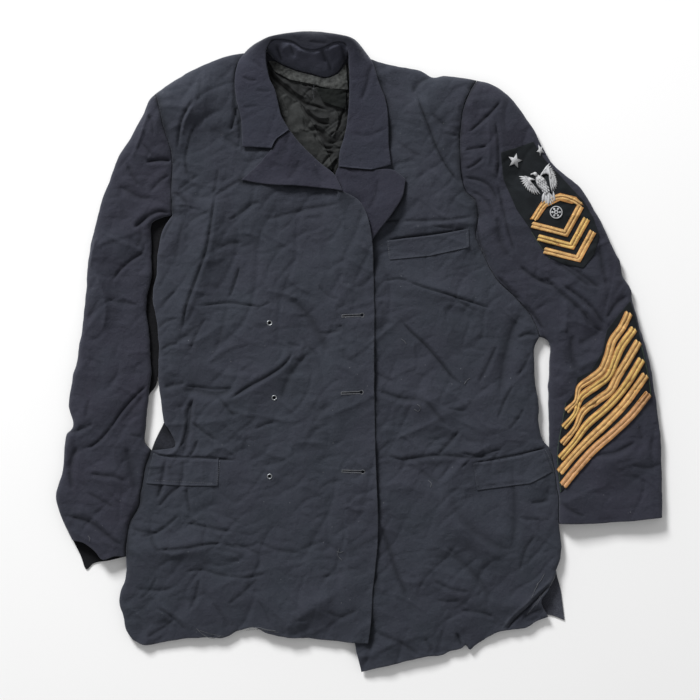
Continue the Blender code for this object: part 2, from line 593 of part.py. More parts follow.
def lower_panel(name):
    """A panel that lies flat on the surface, with its closed edges turned up."""
    loop = outline(name)
    ring = rings(CLOSED_EDGES, [RIM_REACH])
    ring = ring[inside(ring, loop)]
    verts, faces = net([loop], ring, lattice([loop], COARSE), COARSE)
    faces = faces_in(verts, upward(verts, faces), loop)
    low = rim_rise(verts)
    return wall(name, verts, faces, low, low + CLOTH, "wool")


def circle(centre, radius, sides=EYELET_SIDES):
    """A closed round outline."""
    turn = np.arange(sides) * 2 * math.pi / sides
    return np.stack([centre[0] + radius * np.cos(turn), centre[1] + radius * np.sin(turn)], axis=1)


def band(points, width, step):
    """A closed outline of even width round a centre line."""
    line = curve(points, step)
    along = np.gradient(line, axis=0)
    along /= np.linalg.norm(along, axis=1)[:, None]
    side = np.stack([-along[:, 1], along[:, 0]], axis=1) * width / 2
    return np.vstack([line + side, (line - side)[::-1]])


def bird():
    """Outline of the bird: one half, the head and the other half, turned into place."""
    loop = BIRD_TAIL + BIRD_HALF + BIRD_HEAD + [(-x, y) for x, y in BIRD_HALF[::-1]]
    cos, sin = math.cos(BIRD_TURN), math.sin(BIRD_TURN)
    return [(BIRD_CENTRE[0] + x * cos + y * sin, BIRD_CENTRE[1] - x * sin + y * cos) for x, y in loop]


Trim = namedtuple("Trim", "name loop hole thickness finish")


def trims():
    """The small pieces on the upper panels, from the lowest to the highest."""
    for name in ("breast_welt", "right_pocket_welt", "left_pocket_welt"):
        yield Trim(name, polygon(SHAPES[name], EDGE), None, WELT, "wool")
    for name in ("rating_badge", "stripe_ground"):
        yield Trim(name, polygon(SHAPES[name], EDGE), None, PATCH, "badge_cloth")
    yield Trim("badge_arc", polygon(BADGE_ARC, TRIM_EDGE), None, LACE, "gold")
    for index in range(CHEVRONS):
        moved = [(x + index * CHEVRON_STEP[0], y + index * CHEVRON_STEP[1]) for x, y in CHEVRON]
        yield Trim(f"chevron_{index + 1}", polygon(moved, 2 * TRIM_EDGE), None, LACE, "gold")
    yield Trim("badge_bird", polygon(bird(), TRIM_EDGE), None, LACE, "silver")
    for index, points in enumerate(STRIPES):
        loop = band(points, STRIPE_WIDTH, EDGE)
        yield Trim(f"service_stripe_{index + 1}", loop, None, LACE, "gold")
    for index, centre in enumerate(EYELETS):
        hole = circle(centre, EYELET_HOLE)
        yield Trim(f"eyelet_{index + 1}", circle(centre, EYELET_RADIUS), hole, METAL, "eyelet")


def upper_panels():
    """The upper panels and what is sewn on them, all cut from one shared net."""
    loops = {name: outline(name) for name in UPPER}
    small = list(trims())
    borders = list(loops.values()) + [trim.loop for trim in small]
    borders += [trim.hole for trim in small if trim.hole is not None]
    crests = np.vstack([curve(fold_line(fold), LATTICE * 0.8) for fold in FOLDS])
    free = np.vstack([rings(CLOSED_EDGES, [FIRST_RING]), crests])
    verts, faces = net(borders, free, lattice(list(loops.values()), LATTICE), LATTICE)
    faces = upward(verts, faces)
    base = cloth_height(verts)
    lapel = sum(mound_height(verts, mound) for mound in LAPEL_MOUNDS)
    layer = CLOTH + GAP
    under_front = over(verts, loops["left_front"], layer)
    under_front = under_front + over(verts, loops["left_lapel"], COLLAR_CLOTH + GAP)
    wanted = {
        "left_sleeve_top": base,
        "right_sleeve_top": base,
        "left_front": base,
        "left_lapel": base + layer + lapel,
        "right_front": base + under_front,
        "right_lapel": base + under_front + layer + lapel,
        "collar_stand": stand_height(verts),
        "collar_fall": collar_height(verts),
    }
    stiffened = {name for name in UPPER if "lapel" in name or "collar" in name}
    pieces = [(name, loops[name], None, COLLAR_CLOTH if name in stiffened else CLOTH, "wool")
              for name in UPPER]
    pieces += [tuple(trim) for trim in small]
    ceiling = np.full(len(verts), -1e9)
    for name, loop, hole, thickness, finish in pieces:
        own = faces_in(verts, faces, loop, hole)
        used = np.unique(own)
        low = np.array(wanted.get(name, np.full(len(verts), -1e9)))
        low[used] = np.maximum(low[used], ceiling[used] + GAP)
        wall(name, verts, own, low, low + thickness, finish)
        ceiling[used] = low[used] + thickness


def neck_lining():
    """The lining seen in the neck, with the front's lining strip and the label on it."""
    names = ["neck_lining", "front_lining", "neck_label"]
    loops = {name: polygon(SHAPES[name], FINE) for name in names}
    verts, faces = net(list(loops.values()), np.empty((0, 2)), lattice([loops["neck_lining"]], FINE), FINE)
    faces = upward(verts, faces)
    crease = np.maximum(sum(fold_height(verts, fold) for fold in LINING_FOLDS), 0.0)
    crease *= smoothstep(distance(verts, closed(loops["neck_lining"])) / 12.0)
    low = FLOOR_CLEAR + crease
    for name, thickness, finish in (("neck_lining", LINING, "lining"), ("front_lining", LINING, "lining"),
                                    ("neck_label", METAL, "label")):
        own = faces_in(verts, faces, loops[name])
        wall(name, verts, own, low, low + thickness, finish)
        used = np.unique(own)
        low[used] = low[used] + thickness + GAP


clear_scene()
JACKET_LOOPS = {name: inset(outline(name), -1.0) for name in
                ("back", "right_sleeve_under", "left_sleeve_under", "right_front", "left_front")}
for panel in ("back", "right_sleeve_under", "left_sleeve_under"):
    lower_panel(panel)
upper_panels()
neck_lining()
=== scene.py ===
"""A naval dress jacket laid flat on its back, face up, in navy wool serge with gold lace.

Tables are in millimetres in the jacket's own frame: +X is its left, +Y is towards the collar and
+Z is up from the surface that it lies on. Creases and small work are drawn on a squared plan.
"""
import logging
import math
from collections.abc import Callable, Sequence
from dataclasses import dataclass, field
from enum import Enum
from functools import partial

import bpy
import numpy as np
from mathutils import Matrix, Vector, noise
from mathutils.kdtree import KDTree
from mathutils.geometry import delaunay_2d_cdt


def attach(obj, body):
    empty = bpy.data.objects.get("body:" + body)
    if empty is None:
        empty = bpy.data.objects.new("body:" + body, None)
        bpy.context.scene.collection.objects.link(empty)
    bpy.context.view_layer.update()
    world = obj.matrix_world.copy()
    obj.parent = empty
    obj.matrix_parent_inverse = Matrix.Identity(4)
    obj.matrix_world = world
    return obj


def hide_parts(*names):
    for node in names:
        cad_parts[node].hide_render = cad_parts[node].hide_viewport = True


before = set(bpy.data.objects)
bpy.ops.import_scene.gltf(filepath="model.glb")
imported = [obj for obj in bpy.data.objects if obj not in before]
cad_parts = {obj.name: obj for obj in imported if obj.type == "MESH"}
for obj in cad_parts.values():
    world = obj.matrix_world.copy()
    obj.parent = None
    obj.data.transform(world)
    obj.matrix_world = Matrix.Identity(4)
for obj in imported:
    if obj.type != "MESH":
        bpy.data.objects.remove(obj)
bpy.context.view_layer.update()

LOG = logging.getLogger("jacket")
MM = 0.001

Points = np.ndarray
Heights = np.ndarray
Colour = tuple[float, float, float]
Part = tuple[Points, np.ndarray]
Rows = tuple[tuple[float, ...], ...]

# Edges of the pattern pieces: (x, y) down each edge, joined by smooth curves
EDGES = {
    "right_shoulder": [(-126, 392), (-155, 387), (-174, 383), (-207, 370), (-239, 352), (-264, 335)],
    "right_armhole": [(-264, 335), (-259, 317), (-250, 281), (-243, 255), (-244, 210), (-243, 177)],
    "right_side": [(-243, 177), (-255, 158), (-261, 132), (-264, 99), (-268, 70), (-263, 41), (-260, 2),
        (-261, -37), (-257, -70), (-254, -92)],
    "right_vent": [(-254, -92), (-244, -107), (-239, -123), (-256, -127), (-270, -128)],
    "right_vent_back": [(-254, -92), (-263, -110), (-270, -128)],
    "right_cuff_side": [(-270, -128), (-278, -154), (-283, -180), (-287, -203), (-298, -223), (-302, -245),
        (-303, -267)],
    "right_skirt": [(-303, -267), (-303, -291), (-312, -323), (-307, -343), (-303, -362), (-294, -375)],
    "right_hem": [(-294, -375), (-278, -382), (-246, -376), (-207, -372), (-174, -372), (-155, -362),
        (-138, -358), (-122, -365), (-96, -371), (-51, -374), (-12, -378), (12, -379)],
    "right_opening": [(12, -379), (16, -349), (18, -310), (23, -265), (25, -232), (22, -141), (20, -37),
        (20, 67), (17, 145), (14, 164), (9, 181), (-3, 198), (-21, 207)],
    "right_roll": [(-21, 207), (-32, 229), (-46, 241), (-72, 265), (-90, 287)],
    "right_neck": [(-90, 287), (-100, 304), (-104, 318), (-109, 339), (-116, 354), (-120, 376),
        (-126, 392)],
    "left_shoulder": [(-16, 392), (17, 379), (40, 372), (73, 366), (86, 361), (95, 356), (112, 358),
        (144, 354), (153, 352)],
    "left_armhole": [(153, 352), (144, 337), (135, 314), (131, 281), (131, 249), (133, 223), (139, 207),
        (150, 197), (155, 177)],
    "left_underarm": [(155, 177), (152, 151), (159, 132), (170, 109), (183, 89), (203, 70), (220, 51),
        (231, 31), (235, 19)],
    "left_waist": [(235, 19), (228, 6), (228, -18), (229, -44), (233, -63), (234, -96), (239, -115),
        (247, -124)],
    "left_cuff_side": [(247, -124), (252, -141), (256, -167), (259, -193), (260, -224)],
    "left_skirt": [(260, -224), (263, -252), (261, -271), (256, -284)],
    "left_vent": [(256, -284), (247, -307), (237, -324), (246, -345)],
    "left_vent_back": [(256, -284), (262, -307), (265, -328), (268, -350)],
    "left_hem": [(246, -345), (230, -351), (216, -359), (196, -362), (177, -366), (165, -373), (152, -381),
        (144, -388), (139, -382), (133, -386), (120, -389), (103, -395), (86, -397), (40, -408), (3, -417)],
    "left_opening": [(3, -417), (-5, -382), (-12, -323), (-18, -193), (-21, -63), (-21, 67), (-18, 116)],
    "left_roll": [(-18, 116), (-21, 164), (-27, 203), (-31, 229), (-27, 239)],
    "left_neck": [(-27, 239), (-25, 259), (-17, 288), (-13, 327), (-13, 366), (-16, 392)],
    "back_neck": [(-16, 392), (-26, 379), (-38, 366), (-62, 369), (-91, 378), (-107, 385), (-126, 392)],
    "back_hem": [(-294, -375), (-246, -370), (-174, -365), (-142, -352), (-96, -365), (-18, -371),
        (53, -388), (118, -379), (183, -356), (246, -343), (268, -350)],
    "right_sleeve_outer": [(-264, 335), (-272, 327), (-281, 307), (-295, 281), (-311, 255), (-322, 229),
        (-333, 200), (-338, 181), (-344, 158), (-350, 132), (-355, 80), (-361, 21), (-367, -11),
        (-372, -37), (-377, -70), (-372, -99), (-380, -109), (-385, -154), (-394, -188), (-390, -206),
        (-382, -226), (-373, -245)],
    "right_cuff_top": [(-373, -245), (-356, -249), (-341, -261), (-333, -270), (-317, -266), (-303, -267)],
    "right_cuff_under": [(-373, -245), (-363, -265), (-355, -284), (-346, -276), (-324, -272),
        (-303, -267)],
    "right_sleeve_inner": [(-243, 177), (-259, 172), (-269, 166), (-270, 145), (-269, 119), (-270, 93),
        (-276, 67), (-273, 28), (-270, -24), (-273, -57), (-277, -96), (-278, -118), (-270, -128)],
    "left_sleeve_outer": [(153, 352), (170, 348), (186, 339), (199, 327), (216, 305), (229, 285),
        (238, 266), (251, 245), (272, 226), (287, 213), (300, 194), (313, 171), (326, 145), (339, 116),
        (342, 99), (352, 83), (358, 54), (366, 28), (374, 2), (381, -31), (386, -63), (391, -102),
        (393, -141), (394, -180), (394, -216)],
    "left_cuff": [(394, -216), (352, -220), (313, -223), (268, -224), (260, -224)],
    "right_underarm": [(-243, 177), (-255, 158), (-261, 132), (-264, 99), (-267, 70), (-263, 41), (-260, 2),
        (-261, -30), (-266, -48), (-273, -57), (-277, -96), (-278, -118), (-270, -128)],
    "left_sleeve_gap": [(235, 19), (243, 16), (248, 8), (247, -24), (246, -63), (247, -102), (247, -124)],
    "collar_outer": [(-151, 265), (-153, 301), (-159, 327), (-161, 353), (-156, 376), (-146, 392),
        (-129, 404), (-112, 410), (-87, 415), (-65, 417), (-43, 415), (-20, 411), (-5, 406), (6, 393),
        (17, 376), (27, 346), (35, 324), (38, 301), (39, 262), (42, 242)],
    "collar_left_end": [(42, 242), (16, 235)],
    "left_gorge": [(16, 235), (-5, 237), (-27, 239)],
    "left_fold": [(-27, 239), (-25, 259), (-17, 288), (-13, 327), (-13, 366), (-14, 385)],
    "back_fold": [(-14, 385), (-18, 397), (-32, 398), (-43, 393), (-58, 389), (-74, 392), (-83, 398),
        (-101, 402), (-112, 401), (-120, 389)],
    "right_fold": [(-120, 389), (-120, 376), (-116, 354), (-109, 339), (-104, 318), (-100, 304),
        (-90, 287)],
    "right_gorge": [(-90, 287), (-98, 281), (-107, 275), (-113, 263)],
    "collar_right_end": [(-113, 263), (-151, 265)],
    "neck_seam": [(-120, 389), (-109, 379), (-94, 371), (-81, 366), (-64, 362), (-46, 357), (-38, 358),
        (-29, 363), (-23, 370), (-14, 385)],
    "right_lapel_top": [(-113, 263), (-131, 242), (-153, 222)],
    "right_lapel_edge": [(-153, 222), (-116, 216), (-77, 214), (-38, 210), (-21, 207)],
    "left_lapel_top": [(16, 235), (43, 236), (61, 223)],
    "left_lapel_edge": [(61, 223), (56, 200), (40, 174), (27, 158), (17, 145), (1, 129), (-18, 116)],
}

# Each panel's outline, edge by edge; a minus sign runs an edge backwards
PANELS = {
    "back": ["right_shoulder", "right_armhole", "right_side", "right_vent_back", "right_cuff_side",
        "right_skirt", "back_hem", "-left_vent_back", "-left_skirt", "-left_cuff_side", "-left_waist",
        "-left_underarm", "-left_armhole", "-left_shoulder", "back_neck"],
    "right_sleeve_under": ["right_sleeve_outer", "right_cuff_under", "-right_cuff_side", "-right_underarm",
        "-right_armhole"],
    "left_sleeve_under": ["left_sleeve_outer", "left_cuff", "-left_cuff_side", "-left_sleeve_gap",
        "-left_underarm", "-left_armhole"],
    "right_sleeve_top": ["right_sleeve_outer", "right_cuff_top", "-right_cuff_side", "-right_sleeve_inner",
        "-right_armhole"],
    "left_sleeve_top": ["left_sleeve_outer", "left_cuff", "-left_cuff_side", "-left_sleeve_gap",
        "-left_underarm", "-left_armhole"],
    "left_front": ["left_shoulder", "left_armhole", "left_underarm", "left_waist", "left_cuff_side",
        "left_skirt", "left_vent", "left_hem", "left_opening", "left_roll", "left_neck"],
    "left_lapel": ["left_roll", "-left_gorge", "left_lapel_top", "left_lapel_edge"],
    "right_front": ["right_shoulder", "right_armhole", "right_side", "right_vent", "right_cuff_side",
        "right_skirt", "right_hem", "right_opening", "right_roll", "right_neck"],
    "right_lapel": ["right_roll", "right_gorge", "right_lapel_top", "right_lapel_edge"],
    "collar_fall": ["collar_outer", "collar_left_end", "left_gorge", "left_fold", "back_fold", "right_fold",
        "right_gorge", "collar_right_end"],
    "collar_stand": ["back_fold", "neck_seam"],
}

# Where the top and the under layer are joined, so that the cloth rolls over
CLOSED_EDGES = ["right_shoulder", "right_side", "right_cuff_side", "right_skirt", "left_shoulder",
                "left_underarm", "left_waist", "left_cuff_side", "left_skirt", "right_sleeve_outer",
                "right_sleeve_inner", "left_sleeve_outer", "left_sleeve_gap"]
HEMS = ["right_hem", "left_hem"]
# Words in the names of the long soft edges, which waver
SOFT_EDGES = ("side", "shoulder", "outer", "inner", "gap", "hem", "waist", "skirt")
# Seams and upper edges along which each panel gets painted shade
SHADED = {
    "back": ["right_vent"],
    "right_sleeve_under": ["right_sleeve_inner", "right_side", "right_cuff_top"],
    "right_front": ["right_armhole", "right_cuff_side", "collar_outer", "collar_right_end",
        "right_lapel_edge"],
    "left_front": ["left_armhole", "collar_outer", "left_lapel_edge", "right_opening"],
    "right_sleeve_top": ["right_armhole", "right_cuff_side"],
    "left_sleeve_top": ["left_armhole"],
    "left_lapel": ["collar_left_end", "left_gorge"],
    "right_lapel": ["right_gorge"],
}
# How many times as far as elsewhere that the painted shade reaches
PAINTED_SHADE_REACH = {"back": 22.0, "right_sleeve_under": 6.0, "right_front": 1.5, "left_front": 1.5}
# Lines made lighter: plan squares, then how far that reaches in mm; rubbed wear on the left front, painted
# light on the back at the left vent
RUBBED_AND_PAINTED_LIGHT = {
    "left_front": ((556, 574, 547, 583, 537, 592, 526, 603, 516, 612, 508, 621, 501, 632), 3.6),
    "back": ((551, 580, 556, 600, 560, 618), 13.0),
}
BODIES = ["back", "right_sleeve_under", "left_sleeve_under", "right_front", "left_front"]

# Soft mounds: x, y, reach along x, reach along y, rise
MOUNDS = [
    (-226, 325, 58, 46, 11.0), (118, 330, 58, 42, 11.0), (-268, 285, 30, 52, 5.0), (172, 285, 34, 52, 5.0),
    (-165, 240, 70, 80, 3.5), (75, 215, 55, 75, 3.0), (-330, -60, 40, 60, 3.0), (300, 50, 34, 55, 5.0),
    (-110, -250, 90, 60, 2.0), (130, -250, 70, 60, 2.5),
]
LAPEL_MOUNDS = [(-92, 212, 34, 15, 7.5), (-26, 206, 26, 13, 6.0), (-86, 282, 24, 24, 2.5),
                (42, 180, 26, 34, 7.0), (-22, 236, 14, 24, 2.0)]

# Largest folds: both ends and the middle of the crest, width on each side of it, and rise
FOLDS = [
    (-186, 201, -196, 145, -233, 21, 17, 7.0), (-207, 350, -209, 327, -235, 275, 14, 5.0),
    (-155, 109, -169, 63, -187, -5, 20, -4.5), (-81, 64, -66, 38, -48, -2, 22, -4.0),
    (-90, -5, -126, -37, -185, -66, 18, 6.0), (-245, -46, -207, -49, -155, -46, 14, -4.5),
    (-216, -60, -225, -102, -233, -135, 14, -4.5), (-38, -57, -53, -96, -77, -135, 26, 4.0),
    (-285, -256, -233, -257, -187, -248, 13, 5.0), (-226, -285, -183, -289, -122, -288, 15, -4.0),
    (-100, -360, -70, -339, -31, -313, 24, 5.0), (-265, -332, -243, -345, -213, -365, 14, 4.0),
    (72, 325, 86, 301, 131, 220, 16, 6.0), (56, 92, 105, 77, 164, 63, 15, 5.0),
    (53, 41, 86, 8, 135, -44, 20, -5.0), (206, 51, 194, 8, 183, -63, 20, -5.0),
    (40, -50, 79, -66, 118, -102, 18, 5.0), (45, -125, 101, -135, 183, -132, 14, 3.5),
    (114, -174, 134, -226, 200, -262, 24, 5.5), (38, -219, 45, -252, 66, -326, 18, -4.0),
    (95, -297, 118, -307, 160, -313, 16, 4.0), (183, -330, 215, -328, 250, -312, 13, 4.0),
    (-291, 161, -274, 174, -250, 179, 14, 5.0), (-278, 128, -290, 112, -321, 89, 16, -4.5),
    (-339, 145, -338, 99, -332, 28, 15, 5.0), (-280, -45, -300, -73, -345, -120, 16, -5.0),
    (-350, -158, -325, -162, -302, -170, 14, 4.0), (174, 301, 182, 255, 178, 223, 14, 4.5),
    (261, 116, 287, 99, 313, 80, 15, 5.0), (285, 15, 300, 21, 325, 32, 14, -6.0),
    (281, 10, 280, -10, 287, -45, 12, -4.5), (274, 80, 287, 67, 316, 40, 14, 5.0),
    (307, -145, 333, -141, 372, -130, 17, 4.5),
]

# Height of the collar's fold above the surface, from the gorge up to the back of the neck
FOLD_HEIGHT = [(239, 14.5), (300, 17.5), (345, 21.0), (380, 25.5), (402, 28.0)]
COLLAR_BACK = (372.0, 402.0)

# Small flat pieces: (x, y) round each one
SHAPES = {
    "breast_welt": [(36, 144), (92, 150), (142, 159), (143, 135), (92, 124), (40, 119)],
    "right_pocket_welt": [(-267, -132), (-243, -136), (-182, -138), (-183, -174), (-233, -174),
        (-276, -171)],
    "left_pocket_welt": [(148, -145), (196, -136), (239, -127), (251, -156), (222, -171), (153, -180)],
    "rating_badge": [(183, 257), (226, 272), (240, 250), (256, 233), (276, 211), (292, 194), (303, 174),
        (311, 150), (305, 126), (290, 108), (265, 113), (244, 123), (222, 158), (204, 184), (187, 223)],
    "stripe_ground": [(268, -67), (260, -115), (257, -153), (261, -183), (300, -136), (337, -105),
        (380, -58), (372, -20), (365, 11), (360, 38), (352, 66), (337, 49), (321, 28), (315, -1),
        (300, -25), (283, -34), (278, -55)],
    "neck_lining": [(-118, 379), (-109, 376), (-94, 368), (-81, 363), (-64, 359), (-46, 354), (-38, 355),
        (-27, 360), (-21, 368), (-16, 376), (-7, 363), (-4, 327), (-8, 288), (-14, 259), (-20, 233),
        (-23, 218), (-34, 222), (-48, 232), (-77, 257), (-98, 281), (-108, 301), (-114, 320), (-121, 340),
        (-126, 358)],
    "front_lining": [(-112, 348), (-98, 338), (-74, 320), (-66, 305), (-51, 279), (-38, 252), (-34, 236),
        (-43, 236), (-61, 250), (-79, 267), (-99, 291), (-108, 311), (-114, 330)],
    "neck_label": [(-56, 342), (-17, 339), (-17, 314), (-47, 324)],
}
WELTS = {"breast_welt": "left_front", "right_pocket_welt": "right_front", "left_pocket_welt": "left_front"}
CHEVRON = [(222, 160), (270, 148), (291, 186), (282, 190), (265, 158), (226, 168)]
CHEVRON_LINE = [(224, 164), (267, 153), (286, 188)]
CHEVRON_STEP = (8.0, -16.5)
BADGE_ARC = [(221, 171), (237, 196), (260, 205), (281, 200), (291, 189), (281, 192), (275, 191), (260, 195),
             (243, 187), (231, 170)]
ARC_LINE = [(226, 171), (240, 191), (260, 200), (277, 196), (287, 190)]
STRIPE_WIDTH = 11.0
STRIPE_SQUEEZE = [0.42, 0.40, 0.36, 0.24, 0.1, 0.0]
STRIPES = [
    [(271, -75), (281, -64), (285, -47), (301, -35), (314, -24), (322, -6), (328, 14), (340, 31), (348, 47)],
    [(267, -96), (280, -80), (287, -60), (309, -43), (323, -31), (331, -12), (339, 6), (354, 27)],
    [(265, -117), (280, -99), (290, -78), (309, -63), (325, -51), (335, -32), (347, -12), (360, 10)],
    [(263, -136), (279, -117), (295, -95), (323, -70), (343, -47), (364, -13)],
    [(262, -154), (278, -135), (298, -114), (320, -93), (343, -69), (369, -33)],
    [(266, -171), (280, -154), (303, -128), (328, -106), (352, -83), (373, -57)],
]
EYELETS = [(-116, 37), (-110, -60), (-116, -162)]
BUTTONHOLES = [((-21, 46), (4, 47)), ((-22, -54), (3, -53)), ((-21, -155), (5, -156))]
NECK_TAPE = [(-118, 378), (-109, 377), (-94, 369), (-81, 364), (-64, 360), (-46, 355), (-38, 356), (-27, 361),
             (-17, 374), (-14, 340), (-38, 341), (-61, 347), (-90, 353), (-109, 363)]

# The raised-wing bird: a wing feather for each base and tip, the tail, the body and the head
LEFT_WING = ([(228, 222), (221, 226), (214, 228)],
             [(207, 227), (209, 220), (213, 214), (218, 208), (224, 204), (230, 202), (235, 203)])
RIGHT_WING = ([(234, 226), (239, 234), (245, 241)],
              [(247, 244), (251, 238), (254, 231), (256, 223), (257, 216), (255, 209), (250, 205)])
TAIL = ([(239, 206), (243, 208)], [(237, 196), (241, 191), (245, 188), (250, 189), (254, 195)])
BODY = ((230, 229), (245, 203))
LEGS = [((240, 208), (237, 192)), ((246, 207), (245, 190)), ((251, 208), (253, 194))]
HEAD = ((231, 227), (226, 232))
BEAK = ((227, 231), (222, 229))
STARS = [(202, 247, 10.0, 12.0, 1.0), (235, 261, 8.5, 40.0, 0.62)]
ROSETTE = (255, 180)


class Form(Enum):
    """How a crease stands in the cloth."""

    TROUGH = "a sunk crease with low lips"
    RIDGE = "a raised crease"


T, R = Form.TROUGH, Form.RIDGE

